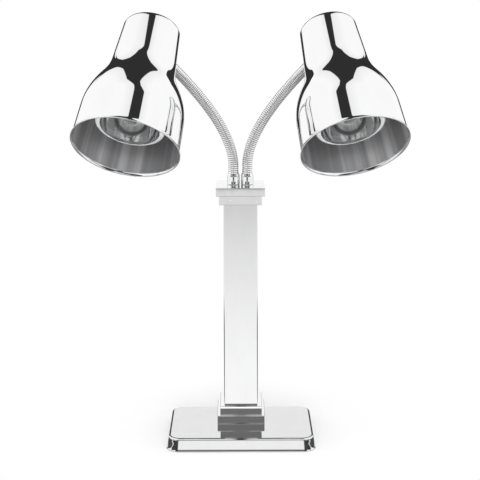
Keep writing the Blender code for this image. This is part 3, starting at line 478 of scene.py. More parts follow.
def rounded(profile, radius, steps=4, closed=False):
    """The profile with every corner turned into an arc of at most this radius, in the profile's units."""
    out = []
    n = len(profile)
    for i in range(n):
        p = Vector((*profile[i], 0.0))
        if not closed and i in (0, n - 1):
            out.append((p.x, p.y))
            continue
        a = Vector((*profile[i - 1], 0.0)) - p
        b = Vector((*profile[(i + 1) % n], 0.0)) - p
        if a.length < 1e-9 or b.length < 1e-9:
            out.append((p.x, p.y))
            continue
        turn = math.pi - a.angle(b)
        if turn < math.radians(12):
            out.append((p.x, p.y))
            continue
        reach = min(radius * math.tan(turn / 2), a.length * 0.45, b.length * 0.45)
        first, last = p + a.normalized() * reach, p + b.normalized() * reach
        for k in range(steps + 1):
            t = k / steps
            q = first * (1 - t) ** 2 + p * 2 * t * (1 - t) + last * t * t
            out.append((q.x, q.y))
    return out


def cylinder_cutter(radius, low, high, matrix, segments=48):
    bm = bmesh.new()
    bmesh.ops.create_cone(bm, cap_ends=True, segments=segments, radius1=radius, radius2=radius, depth=high - low,
                          matrix=Matrix.Translation((0, 0, (low + high) / 2)))
    return object_from("cutter", bm, matrix)


def box_cutter(low, high):
    bm = bmesh.new()
    bmesh.ops.create_cube(bm, size=1.0)
    low, high = Vector(low), Vector(high)
    size, mid = high - low, (high + low) / 2
    for v in bm.verts:
        v.co = Vector((v.co.x * size.x, v.co.y * size.y, v.co.z * size.z)) + mid
    return object_from("cutter", bm)


def carve(obj, *cutters, operation="DIFFERENCE"):
    """Cuts the mesh for good and removes the cutters."""
    for cutter in cutters:
        modifier = obj.modifiers.new("cut", "BOOLEAN")
        modifier.object = cutter
        modifier.operation = operation
        modifier.solver = "EXACT"
    bake(obj)
    for cutter in cutters:
        mesh = cutter.data
        bpy.data.objects.remove(cutter, do_unlink=True)
        bpy.data.meshes.remove(mesh)


def bake(obj):
    bpy.context.view_layer.update()
    graph = bpy.context.evaluated_depsgraph_get()
    made = bpy.data.meshes.new_from_object(obj.evaluated_get(graph))
    obj.modifiers.clear()
    old = obj.data
    obj.data = made
    made.name = obj.name
    if old.users == 0:
        bpy.data.meshes.remove(old)


def rectangle(half_x, low_y, high_y, radius, per_corner):
    points = []
    for cx, cy, start in (
        (half_x - radius, high_y - radius, 0), (-half_x + radius, high_y - radius, 90),
        (-half_x + radius, low_y + radius, 180), (half_x - radius, low_y + radius, 270),
    ):
        for i in range(per_corner + 1):
            a = math.radians(start + 90 * i / per_corner)
            points.append((cx + radius * math.cos(a), cy + radius * math.sin(a)))
    return points


def loft(name, rings, matrix=None, first_cap=True, last_cap=True, wrap=False):
    """A skin through rings of equal length; each ring is a list of 3-D points."""
    bm = bmesh.new()
    made = [[bm.verts.new(p) for p in ring] for ring in rings]
    if first_cap and not wrap:
        bm.faces.new(made[0])
    if last_cap and not wrap:
        bm.faces.new(reversed(made[-1]))
    pairs = list(zip(made, made[1:])) + ([(made[-1], made[0])] if wrap else [])
    for a, b in pairs:
        for i in range(len(a)):
            j = (i + 1) % len(a)
            bm.faces.new((a[i], b[i], b[j], a[j]))
    return object_from(name, bm, matrix)


def bevel(obj, width, segments=4, angle=40.0):
    modifier = obj.modifiers.new("bevel", "BEVEL")
    modifier.width = width
    modifier.segments = segments
    modifier.limit_method = "ANGLE"
    modifier.angle_limit = math.radians(angle)
    bake(obj)


# ---------------------------------------------------------------- shades
BELL_R_MOUTH, BELL_TAPER, NECK_TAPER = 89.2, 0.039, 0.072
SHOULDER_FROM, SHOULDER_MID, SHOULDER_TO, SHOULDER_SLOPE = 57.1, 115.0, 167.4, 0.543
DOME_FROM, DOME_RADIUS, SHADE_LENGTH, SHADE_SKIN = 232.3, 40.0, 249.8, 0.9
HOSE_R, FERRULE_R, STEM_R, FERRULE_HEIGHT, FOOT_STUB = 9.2, 11.15, 5.0, 21.0, 12.0


def shade_radius(s):
    """Outer radius at height s above the mouth: bell, rounded shoulder, hollow fillet, neck."""
    r = BELL_R_MOUTH - BELL_TAPER * min(s, SHOULDER_FROM)
    if s > SHOULDER_FROM:
        span = SHOULDER_MID - SHOULDER_FROM
        u = min(1.0, (s - SHOULDER_FROM) / span)
        r -= span * (BELL_TAPER * u + (SHOULDER_SLOPE - BELL_TAPER) * u * u / 2)
    if s > SHOULDER_MID:
        span = SHOULDER_TO - SHOULDER_MID
        v = min(1.0, (s - SHOULDER_MID) / span)
        r -= span * (NECK_TAPER * v + (SHOULDER_SLOPE - NECK_TAPER) * (v - v ** 3 + v ** 4 / 2))
    if s > SHOULDER_TO:
        r -= NECK_TAPER * (s - SHOULDER_TO)
    return r


def shade_line(inset, low, step):
    """From the crown down to just above the mouth, set in by a thickness."""
    points = []
    top_r = shade_radius(DOME_FROM)
    rise = SHADE_LENGTH - DOME_FROM
    count = 22
    for i in range(count + 1):
        a = math.radians(90 - 90 * i / count)
        points.append((top_r - DOME_RADIUS + (DOME_RADIUS - inset) * math.cos(a), DOME_FROM + (rise - inset) * math.sin(a)))
    s = DOME_FROM - step
    while s > low + step * 0.5:
        slope = (shade_radius(s + 0.5) - shade_radius(s - 0.5))
        n = math.hypot(1, slope)
        points.append((shade_radius(s) - inset / n, s - inset * slope / n))
        s -= step
    points.append((shade_radius(low) - inset, low))
    return points


def lip_line(inset):
    """The lip that flares out below the bell, down to its hem."""
    points = []
    for i in range(1, 13):
        s = LIP_FROM + (LIP_TO + 0.3 - LIP_FROM) * i / 12
        t = (LIP_FROM - s) / (LIP_FROM - LIP_TO)
        slope = -2 * LIP_FLARE * t / (LIP_FROM - LIP_TO)
        n = math.hypot(1, slope)
        points.append((shade_radius(s) + LIP_FLARE * t * t - inset / n, s - inset * slope / n))
    return points


def shade(word):
    outer = shade_line(0.0, LIP_FROM, 2.0) + lip_line(0.0)
    inner = shade_line(SHADE_SKIN, LIP_FROM, 2.0) + lip_line(SHADE_SKIN)
    hem_r = shade_radius(LIP_TO) + LIP_FLARE - 0.45
    hem = [(hem_r + HEM_R * math.cos(math.radians(d)), LIP_TO + HEM_R * math.sin(math.radians(d)))
           for d in (40, 22, 4, -14, -32, -50, -68, -86, -104, -122, -140, -158, -176, -194)]
    flat = [(r, outer[0][1]) for r in (0.0, 6.0)]
    flat_in = [(r, inner[0][1]) for r in (6.0, 0.0)]
    profile = flat + outer + hem + inner[::-1] + flat_in
    skins = []
    for i in range(len(profile) - 1):
        skins.append(1 if i >= len(flat) + len(outer) + len(hem) + 9 else 0)
    obj = lathe("spun_shade_" + word, profile, 160, HEAD[word], ("shade", "inside"), None, None, skins=skins)
    entry = HEAD[word] @ Matrix.Translation((0, 0, ENTRY_HEIGHT[word])) @ Matrix.Rotation(math.radians(90), 4, "Y")
    carve(obj, cylinder_cutter((STEM_R + 0.3) * MM, 0.04, 0.06, entry))
    return finish_piece(obj, ("shade", "inside"), "head_" + word, ["shade_" + word], 50.0)


# ---------------------------------------------------------------- lamps
BULB_R, BULB_FACE, BULB_WIDEST, BULB_WALL = 59.0, 30.0, 44.0, 1.1
LENS_R = 50.0
BULB_NECK_R, BULB_NECK_FROM, BULB_GLASS_TO, BULB_CAP_R, BULB_CAP_TO = 19.5, 147.0, 178.0, 13.4, 204.0


def bulb_line(steps):
    """Outline of the lamp from the middle of its face, over a stepped rim, up the reflector to the neck."""
    points = []
    sag = BULB_WIDEST - BULB_FACE
    for i in range(steps + 1):
        # clear lens, domed
        t = i / steps
        points.append((LENS_R * t, BULB_FACE + (sag - 7.4) * t ** 2.2))
    edge = points[-1][1]
    # a step back, then the etched ring, then the rolled edge of the glass
    points += [(LENS_R + 0.5, edge + 0.9), (LENS_R + 1.3, edge + 1.2), (LENS_R + 4.2, edge + 1.6), (BULB_R - 2.4, edge + 2.2), (BULB_R - 1.3, edge + 3.0),
               (BULB_R - 0.4, edge + 4.4), (BULB_R, BULB_WIDEST)]
    for i in range(1, steps * 2 + 1):
        t = i / (steps * 2)
        s = BULB_WIDEST + (BULB_NECK_FROM - BULB_WIDEST) * t
        r = BULB_NECK_R + (BULB_R - BULB_NECK_R) * (1 - t ** 1.55) ** 0.8
        points.append((r, s))
    points += [(BULB_NECK_R - 0.4, BULB_NECK_FROM + 12), (BULB_NECK_R - 1.5, BULB_GLASS_TO)]
    return points


def offset_line(points, inset):
    out = []
    for i, (r, s) in enumerate(points):
        r0, s0 = points[max(0, i - 1)]
        r1, s1 = points[min(len(points) - 1, i + 1)]
        dr, ds = r1 - r0, s1 - s0
        n = math.hypot(dr, ds)
        out.append((max(0.0, r - inset * ds / n), s + inset * dr / n))
    return out


def lamp(word):
    place, body = HEAD[word], "head_" + word
    outline = bulb_line(20)
    inner = offset_line(outline, BULB_WALL)
    inner[0] = (0.0, outline[0][1] + BULB_WALL)
    inner[-1] = (outline[-1][0] - BULB_WALL, BULB_GLASS_TO)
    profile = inner + outline[::-1]
    skins = []
    for (r0, s0), (r1, s1) in zip(profile, profile[1:]):
        skins.append(1 if min(r0, r1) > LENS_R - BULB_WALL - 0.2 and max(s0, s1) < BULB_WIDEST + 0.5 else 0)
    lathe("lamp_glass_" + word, profile, 96, place, ("glass", "frost"), body, ["bulb_glass_" + word], angle=60, skins=skins)

    # silvered inside of the reflector, from the rim to the neck
    coat = [(r, s) for r, s in offset_line(outline, BULB_WALL + 0.25) if s > BULB_WIDEST + 1.0 and s < BULB_NECK_FROM + 6]
    back = [(r, s) for r, s in offset_line(outline, BULB_WALL + 0.55) if s > BULB_WIDEST + 1.0 and s < BULB_NECK_FROM + 6]
    lathe("lamp_reflector_" + word, coat + back[::-1], 96, place, ("silver",), body, None, closed=True, angle=60)

    # screw cap with its rolled thread, the shape of its glass ring and its solder button, all in nickel
    low = BULB_GLASS_TO + 0.3
    thread = []
    turns, per_turn = 4.5, 10
    z_from, z_to = low + 4.0, BULB_CAP_TO - 3.0
    for i in range(int(turns * per_turn) + 1):
        z = z_to + (z_from - z_to) * i / (turns * per_turn)
        thread.append((BULB_CAP_R - 0.45, z))
    profile = [(0, BULB_CAP_TO + 4.0), (2.6, BULB_CAP_TO + 3.9), (3.8, BULB_CAP_TO + 3.3), (4.6, BULB_CAP_TO + 2.1), (5.2, BULB_CAP_TO + 1.7),
               (10.2, BULB_CAP_TO + 0.1), (BULB_CAP_R - 1.4, BULB_CAP_TO - 1.0)] + thread + [(BULB_CAP_R - 0.2, low + 2.8), (BULB_CAP_R - 0.1, low + 0.4), (BULB_CAP_R - 0.5, low), (0, low)]
    pitch = (z_to - z_from) / turns

    def threaded(i, r, z, a):
        if z_from - 0.01 <= z <= z_to + 0.01 and r > BULB_CAP_R - 0.6:
            ends = min(1.0, (z - z_from) / 1.2, (z_to - z) / 1.2)
            return r + 0.42 * max(0.0, ends) * math.cos(2 * math.pi * (z / pitch - a / (2 * math.pi)))
        return r

    lathe("lamp_cap_" + word, profile, 64, place, ("nickel",), body, ["bulb_cap_" + word], angle=50, radius_at=threaded)

    # coiled filament between two lead wires
    wire = [(-4.6, 0, BULB_GLASS_TO - 1.5), (-4.6, 0, BULB_GLASS_TO - 30), (-9.0, 0, 109.0), (-13, 0.6, 95), (-13, 2.6, 83.0)]
    turns, per_turn = 11, 12
    for i in range(turns * per_turn + 1):
        a = 2 * math.pi * i / per_turn
        wire.append((-11.0 + 22.0 * i / (turns * per_turn), 2.6 * math.cos(a), 83.0 + 2.6 * math.sin(a)))
    wire += [(13, 2.6, 83.0), (13, 0.6, 95), (9.0, 0, 109.0), (4.6, 0, BULB_GLASS_TO - 30), (4.6, 0, BULB_GLASS_TO - 1.5)]
    obj = tube_mesh("lamp_filament_" + word, [Vector(p) * MM for p in wire], 0.42 * MM, 8, place)
    finish_piece(obj, ("tungsten",), body, ["bulb_filament_" + word])


def tube_mesh(name, path, radius, around, matrix=None, shape=None):
    """A closed round bar along a path, with rings square to it. shape(length, angle) scales the radius."""
    rings = []
    lengths = [0.0]
    for a, b in zip(path, path[1:]):
        lengths.append(lengths[-1] + (b - a).length)
    tangents = []
    for i in range(len(path)):
        a, b = path[max(0, i - 1)], path[min(len(path) - 1, i + 1)]
        tangents.append((b - a).normalized())
    normal = tangents[0].orthogonal().normalized()
    for i, p in enumerate(path):
        t = tangents[i]
        normal = (normal - t * t.dot(normal)).normalized()
        side = t.cross(normal)
        ring = []
        for k in range(around):
            a = 2 * math.pi * k / around
            r = radius * (shape(lengths[i], a) if shape else 1.0)
            ring.append(p + (normal * math.cos(a) + side * math.sin(a)) * r)
        rings.append(ring)
    return loft(name, rings, matrix)


# ---------------------------------------------------------------- lampholder, bracket and screws
HOLDER_FROM, HOLDER_TO, HOLDER_R, HOLDER_BORE_R, HOLDER_BORE_TO = 180.0, 219.0, 22.0, 15.5, 211.5
SHELL_R, SHELL_THICK = 15.1, 0.9


def holder(word):
    place, body = HEAD[word], "head_" + word
    ribs = lambda i, r, z, a: r - (0.35 * max(0.0, math.cos(18 * a)) if (HOLDER_FROM + 4 < z < HOLDER_TO - 16 and r > HOLDER_R - 1) else 0.0)
    side = [(HOLDER_R, HOLDER_TO - 15 - 1.8 * i) for i in range(12)]
    profile = rounded([(HOLDER_R - 1, HOLDER_TO - 14), (HOLDER_R - 1, HOLDER_TO - 3), (HOLDER_R - 4, HOLDER_TO), (0.0001, HOLDER_TO)], 1.2)[::-1]
    profile = [(0, HOLDER_TO)] + profile[1:] + side + rounded([(HOLDER_R, HOLDER_FROM + 2), (HOLDER_R - 1.5, HOLDER_FROM), (HOLDER_BORE_R + 1, HOLDER_FROM), (HOLDER_BORE_R, HOLDER_FROM + 1), (HOLDER_BORE_R, HOLDER_BORE_TO)], 0.8) + [(0, HOLDER_BORE_TO)]
    obj = lathe("lampholder_ceramic_" + word, profile, 72, place, ("ceramic",), None, None, radius_at=ribs)
    cuts = [cylinder_cutter(1.8 * MM, (HOLDER_TO - 5.5) * MM, (HOLDER_TO + 3) * MM, place @ Matrix.Translation((0, s * 6.0 * MM, 0)), 24) for s in (-1, 1)]
    carve(obj, *cuts)
    finish_piece(obj, ("ceramic",), body, ["lampholder_body_" + word])

    # rolled brass screw shell
    low, high = HOLDER_FROM + 2.0, HOLDER_BORE_TO - 4.0
    count = 52
    outer = [(SHELL_R - 0.25, high - (high - low) * i / count) for i in range(count + 1)]
    inner = [(SHELL_R - SHELL_THICK + 0.1, low + (high - low) * i / count) for i in range(count + 1)]
    wavy = lambda i, r, z, a: r + 0.22 * max(0.0, min(1.0, (z - low) / 1.5, (high - z) / 1.5)) * math.cos(2 * math.pi * ((z - low) / 4.2 - a / (2 * math.pi)))
    lathe("lampholder_screw_shell_" + word, outer + inner, 56, place, ("brass",), body, ["lampholder_shell_" + word], closed=True, radius_at=wavy)


def restyle(node, look, bevel_width=None, segments=2):
    """A CAD node whose shape is right: a better surface, and softened edges."""
    obj = frame["nodes"][node]
    co = np.empty(len(obj.data.vertices) * 3, np.float32)
    obj.data.vertices.foreach_get("co", co)
    obj.data.attributes.new("own_place", "FLOAT_VECTOR", "POINT").data.foreach_set("vector", co)
    obj.data.materials.clear()
    obj.data.materials.append(M[look].material)
    for polygon in obj.data.polygons:
        polygon.material_index = 0
    if bevel_width:
        weld = obj.modifiers.new("weld", "WELD")
        weld.merge_threshold = 0.000002
        flat = obj.modifiers.new("planar", "DECIMATE")
        flat.decimate_type = "DISSOLVE"
        flat.angle_limit = math.radians(2)
        edge = obj.modifiers.new("bevel", "BEVEL")
        edge.width = bevel_width * MM
        edge.segments = segments
        edge.limit_method = "ANGLE"
        edge.angle_limit = math.radians(50)


# ---------------------------------------------------------------- goosenecks
PITCH = 3.5
HOSE_RISE, HOSE_REACH = 61.5, 75.0


def ferrule_profile(base, top, hollow):
    """Outside of a ferrule between its seat and the hose: foot chamfer, plain barrel, waist, and the lip that grips the hose."""
    r = FERRULE_R
    return [
        (r - 0.9, base), (r - 0.45, base + 0.08), (r - 0.2, base + 0.28), (r - 0.06, base + 0.55), (r, base + 0.9), (r, base + 1.3), (r, base + 2.5),
        (r, base + 5.0), (r, top - 8.0), (r, top - 6.4), (r - 0.03, top - 5.7), (r - 0.14, top - 4.9), (r - 0.36, top - 4.0), (r - 0.68, top - 3.1),
        (HOSE_R + 0.98, top - 2.1), (HOSE_R + 0.78, top - 1.3), (HOSE_R + 0.66, top - 0.7), (HOSE_R + 0.45, top - 0.2), (HOSE_R + 0.1, top), (hollow, top),
    ]


def goosenecks():
    for word, side in (("left", -1), ("right", 1)):
        joints = [joint_place("arm_%s_%s" % (word, n)) for n in ("bend", "sweep", "bend_2", "sweep_2", "bend_3", "sweep_3", "bend_4")]
        entry = HEAD[word].to_3x3() @ Vector((1, 0, 0))
        p0, p3 = joints[0], joints[-1]
        p1, p2 = p0 + Vector((0, 0, HOSE_RISE * MM)), p3 + entry * HOSE_REACH * MM
        foot = p0 - Vector((0, 0, FOOT_STUB * MM))
        end = p3 - entry * FOOT_STUB * MM

        def bezier(t):
            return p0 * (1 - t) ** 3 + p1 * 3 * (1 - t) ** 2 * t + p2 * 3 * (1 - t) * t * t + p3 * t ** 3

        fine = [foot + Vector((0, 0, -2.0 * MM))] + [foot] + [foot.lerp(p0, i / 8) for i in range(1, 8)]
        fine += [bezier(i / 400) for i in range(401)] + [p3.lerp(end, i / 8) for i in range(1, 9)] + [end - entry * 2.0 * MM]
        length = [0.0]
        for a, b in zip(fine, fine[1:]):
            length.append(length[-1] + (b - a).length)
        total = length[-1]
        co, where = np.array(fine), np.array(length)

        def at(s):
            return Vector([float(np.interp(s, where, co[:, i])) for i in range(3)])

        def nearest(p):
            return float(where[np.argmin(np.linalg.norm(co - np.array(p), axis=1))])

        at_joint = [nearest(j) for j in joints]
        cuts = [0.0] + [(a + b) / 2 for a, b in zip(at_joint, at_joint[1:])] + [total]
        per_pitch, around = 10, 26
        step = PITCH * MM / per_pitch
        # one frame carried along the whole hose, so the winding runs on from piece to piece
        count = int(round(total / step))
        stations = [total * i / count for i in range(count + 1)]
        centres = [at(s) for s in stations]
        tangents = [(at(min(total, s + 0.0012)) - at(max(0.0, s - 0.0012))).normalized() for s in stations]
        normals = []
        normal = Vector((1, 0, 0))
        for t in tangents:
            normal = (normal - t * t.dot(normal)).normalized()
            normals.append(normal)

        def ring(i, hollow=False):
            points, winding = [], []
            t, n = tangents[i], normals[i]
            b = t.cross(n)
            for k in range(around):
                a = 2 * math.pi * k / around
                u = (stations[i] / (PITCH * MM) + k / around) % 1.0
                crown = 1 - abs(2 * u - 1) ** 5
                r = 5.2 if hollow else HOSE_R - 0.8 + 0.8 * crown
                points.append(centres[i] + (n * math.cos(a) + b * math.sin(a)) * r * MM)
                # crown height of the winding; the hose colour paints shade where it is low, and in the bore where it is
                # nought
                winding.append(0.0 if hollow else crown)
            return points, winding

        edges = [min(range(count + 1), key=lambda i: abs(stations[i] - c)) for c in cuts]
        for k in range(7):
            first, last = edges[k], edges[k + 1]
            bm = bmesh.new()
            layer = bm.verts.layers.float.new("winding")
            outer, inner = [], []
            for i in range(first, last + 1):
                points, winding = ring(i)
                row = []
                for p, w in zip(points, winding):
                    v = bm.verts.new(p)
                    v[layer] = w
                    row.append(v)
                outer.append(row)
            for i in list(range(first, last, 10)) + [last]:
                row = []
                for p in ring(i, True)[0]:
                    v = bm.verts.new(p)
                    v[layer] = 0.0
                    row.append(v)
                inner.append(row)
            loop = outer + inner[::-1]
            for a, b in list(zip(loop, loop[1:])) + [(loop[-1], loop[0])]:
                for m in range(around):
                    j = (m + 1) % around
                    bm.faces.new((a[m], b[m], b[j], a[j]))
            obj = object_from("hose_%s_%d" % (word, k + 1), bm)
            settle(obj)
            finish_piece(obj, ("hose",), None, None, 60.0)
            a, b = centres[first], centres[last]
            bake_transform(obj)
            if 1 <= k + 1 <= 6:
                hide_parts("gooseneck_link_%d_%s" % (k + 1, word))

        # foot ferrule, seated on the cap with a threaded hollow stem through it
        place = Matrix.Translation((foot.x, foot.y, 0))
        z_seat, z_top = (Z_TOP_OF_CAP / MM) + 0.3, foot.z / MM
        stem_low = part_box("gooseneck_foot_ferrule_" + word)[0].z / MM
        thread = [(STEM_R - (0.0 if i % 2 else 0.45), z_seat - 1.0 - i * (z_seat - 1.0 - stem_low - 1.0) / 40) for i in range(41)]
        profile = [(HOSE_R - 1.4, z_top - 4), (HOSE_R - 1.4, z_top)] [::-1] + []
        outside = ferrule_profile(z_seat, z_top, HOSE_R - 0.9)[::-1]
        profile = outside + [(STEM_R, z_seat)] + thread + [(STEM_R - 0.8, stem_low), (2.2, stem_low), (2.2, z_top - 6), (HOSE_R - 0.9, z_top - 6)]
        lathe("foot_ferrule_" + word, profile, 72, place, ("ferrule",), "base", ["gooseneck_foot_ferrule_" + word], closed=True, angle=28)

        # end ferrule, the same turned piece against the neck of the shade
        inward = HEAD[word] @ Matrix.Translation((0, 0, ENTRY_HEIGHT[word])) @ Matrix.Rotation(math.radians(90), 4, "Y")
        reach = (inward.inverted() @ end).z / MM
        seat = reach - FERRULE_HEIGHT
        pts = points_of("gooseneck_end_ferrule_" + word)
        stem = float(((pts - np.array(inward.translation)) @ np.array(entry)).min()) / MM
        thread = [(STEM_R - (0.0 if i % 2 else 0.45), seat - 1.0 - i * (seat - 2.0 - stem) / 40) for i in range(41)]
        profile = ferrule_profile(seat, reach, HOSE_R - 0.9)[::-1] + [(STEM_R, seat)] + thread + [(STEM_R - 0.8, stem), (2.2, stem), (2.2, reach - 6), (HOSE_R - 0.9, reach - 6)]
        lathe("end_ferrule_" + word, profile, 72, inward, ("ferrule",), "head_" + word, ["gooseneck_end_ferrule_" + word], closed=True, angle=28)


# ---------------------------------------------------------------- base
def base():
    low_y, high_y = cover_low.y / MM, cover_high.y / MM
    half = cover_high.x / MM
    height = cover_high.z / MM
    foot = cover_low.z / MM
    flare, edge, skin = 4.6, 4.3, 1.2
    inset0 = flare + edge
    outer = []
    for i in range(11):
        a = math.radians(90 - 90 * i / 10)
        outer.append((inset0 - edge * math.cos(a), height - edge * (1 - math.sin(a))))
    # leaning wall that rolls out into a small lip at the table
    outer += [(4.05, 17.6), (3.45, 14.6), (2.80, 11.6), (2.20, 8.8), (1.65, 6.4), (1.20, 4.6), (0.80, 3.2), (0.40, 2.3), (0.12, 1.7), (0.0, 1.3), (0.02, foot + 0.1), (0.25, foot)]
    inner = [(i + skin, z if n > 10 else z - skin) for n, (i, z) in enumerate(outer)]
    inner = []
    for n, (i, z) in enumerate(outer[:-3]):
        i0, z0 = outer[max(0, n - 1)]
        i1, z1 = outer[min(len(outer) - 1, n + 1)]
        di, dz = i1 - i0, z1 - z0
        m = math.hypot(di, dz)
        inner.append((i - skin * dz / m, z + skin * di / m) if n else (i, z - skin))
    rings = []
    for inset, z in outer + [(skin + 0.1, foot)] + inner[::-1]:
        radius = max(3.0, 25.0 - max(0.0, inset) * 0.75)
        rings.append([Vector((x * MM, y * MM, z * MM)) for x, y in rectangle(half - inset, low_y + inset, high_y - inset, radius, 14)])
    obj = loft("pressed_base_cover", rings)
    cuts = [cylinder_cutter(0.016, 0.018, 0.030, Matrix.Identity(4))]
    grip = centre_of("cord_strain_relief")
    aim = Matrix.Translation((grip[0], high_y * MM, grip[2])) @ Matrix.Rotation(math.radians(90), 4, "X")
    cuts.append(cylinder_cutter(0.0049, -0.012, 0.012, aim))
    carve(obj, *cuts)
    finish_piece(obj, ("base",), "base", ["base_cover"], 24.0)
    even_normals(obj)

    # ribbed rubber sheet under the cover
    pad_low, pad_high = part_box("base_pad")
    thick = pad_high.z - pad_low.z
    shape = lambda inset, z: [Vector((x * MM, y * MM, z)) for x, y in rectangle(pad_high.x / MM - inset, pad_low.y / MM + inset, pad_high.y / MM - inset, 19 - inset * 0.5, 10)]
    pad = loft("ribbed_base_pad", [shape(0.6, thick), shape(0.1, thick - 0.0004), shape(0.0, thick - 0.0009), shape(0.0, 0.0006), shape(0.5, 0.0001), shape(1.2, 0.0),
                                   shape(7.0, 0.0), shape(7.6, 0.0007), shape(9.4, 0.0007), shape(10.0, 0.0)])
    finish_piece(pad, ("pad",), "base", ["base_pad"], 30.0)


def tier(node, name, holes=()):
    low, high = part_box(node)
    bm = bmesh.new()
    bmesh.ops.create_cube(bm, size=1.0)
    size, mid = high - low, (high + low) / 2
    for v in bm.verts:
        v.co = Vector((v.co.x * size.x, v.co.y * size.y, v.co.z * size.z)) + mid
    obj = object_from(name, bm)
    bevel(obj, 0.0008, 5)
    if holes:
        carve(obj, *holes)
    even_normals(obj)
    return finish_piece(obj, ("tier",), "base", [node], 24.0)


def column():
    def wire_hole(node):
        low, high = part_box(node)
        return [cylinder_cutter(0.019, low.z - 0.003, high.z + 0.003, Matrix.Identity(4))]

    tier("plinth_lower_tier", "plinth_lower_step", wire_hole("plinth_lower_tier"))
    tier("plinth_upper_tier", "plinth_upper_step", wire_hole("plinth_upper_tier"))
    low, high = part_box("cap_lower_tier")
    web = high.z - 0.005
    stems = [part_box("gooseneck_foot_ferrule_" + w) for w in ("left", "right")]
    xs = [(a.x + b.x) / 2 for a, b in stems]
    holes = [box_cutter((-0.025, -0.025, low.z - 0.004), (0.025, 0.025, web)), cylinder_cutter(0.0033, web - 0.003, high.z + 0.002, Matrix.Identity(4), 32)]
    holes += [cylinder_cutter(0.0053, web - 0.003, high.z + 0.002, Matrix.Translation((x, 0, 0)), 40) for x in xs]
    tier("cap_lower_tier", "cap_lower_step", holes)
    low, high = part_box("cap_upper_tier")
    holes = [cylinder_cutter(0.0066, low.z - 0.002, low.z + 0.0079, Matrix.Identity(4), 40)]
    holes += [cylinder_cutter(0.0053, low.z - 0.002, high.z + 0.003, Matrix.Translation((x, 0, 0)), 40) for x in xs]
    tier("cap_upper_tier", "cap_upper_step", holes)

    half = COLUMN_HALF / MM
    z0, z1 = column_low.z, column_high.z
    wall = 1.5

    def outline(inset, z, radius):
        h = half - inset
        return [Vector((x * MM, y * MM, z)) for x, y in rectangle(h, -h, h, radius, 6)]

    rings = [outline(0.25, z1, 1.5), outline(0.0, z1 - 0.0003, 1.7)]
    rings += [outline(0.0, z1 + (z0 - z1) * i / 12, 1.7) for i in range(1, 12)]
    rings += [outline(0.0, z0 + 0.0003, 1.7), outline(0.25, z0, 1.5), outline(wall, z0, 0.7), outline(wall, z1, 0.7)]
    obj = loft("square_column", rings, wrap=True)
    s_low, s_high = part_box("switch_rocker")
    mid_z = (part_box("switch_housing")[0].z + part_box("switch_housing")[1].z) / 2
    carve(obj, box_cutter((-0.0103, half * MM - 0.005, mid_z - 0.0068), (0.0103, half * MM + 0.005, mid_z + 0.0068)))
    finish_piece(obj, ("column",), "base", ["column_tube"], 24.0)
    even_normals(obj)


# ---------------------------------------------------------------- switch, cord, plug
CORD_R = 3.4


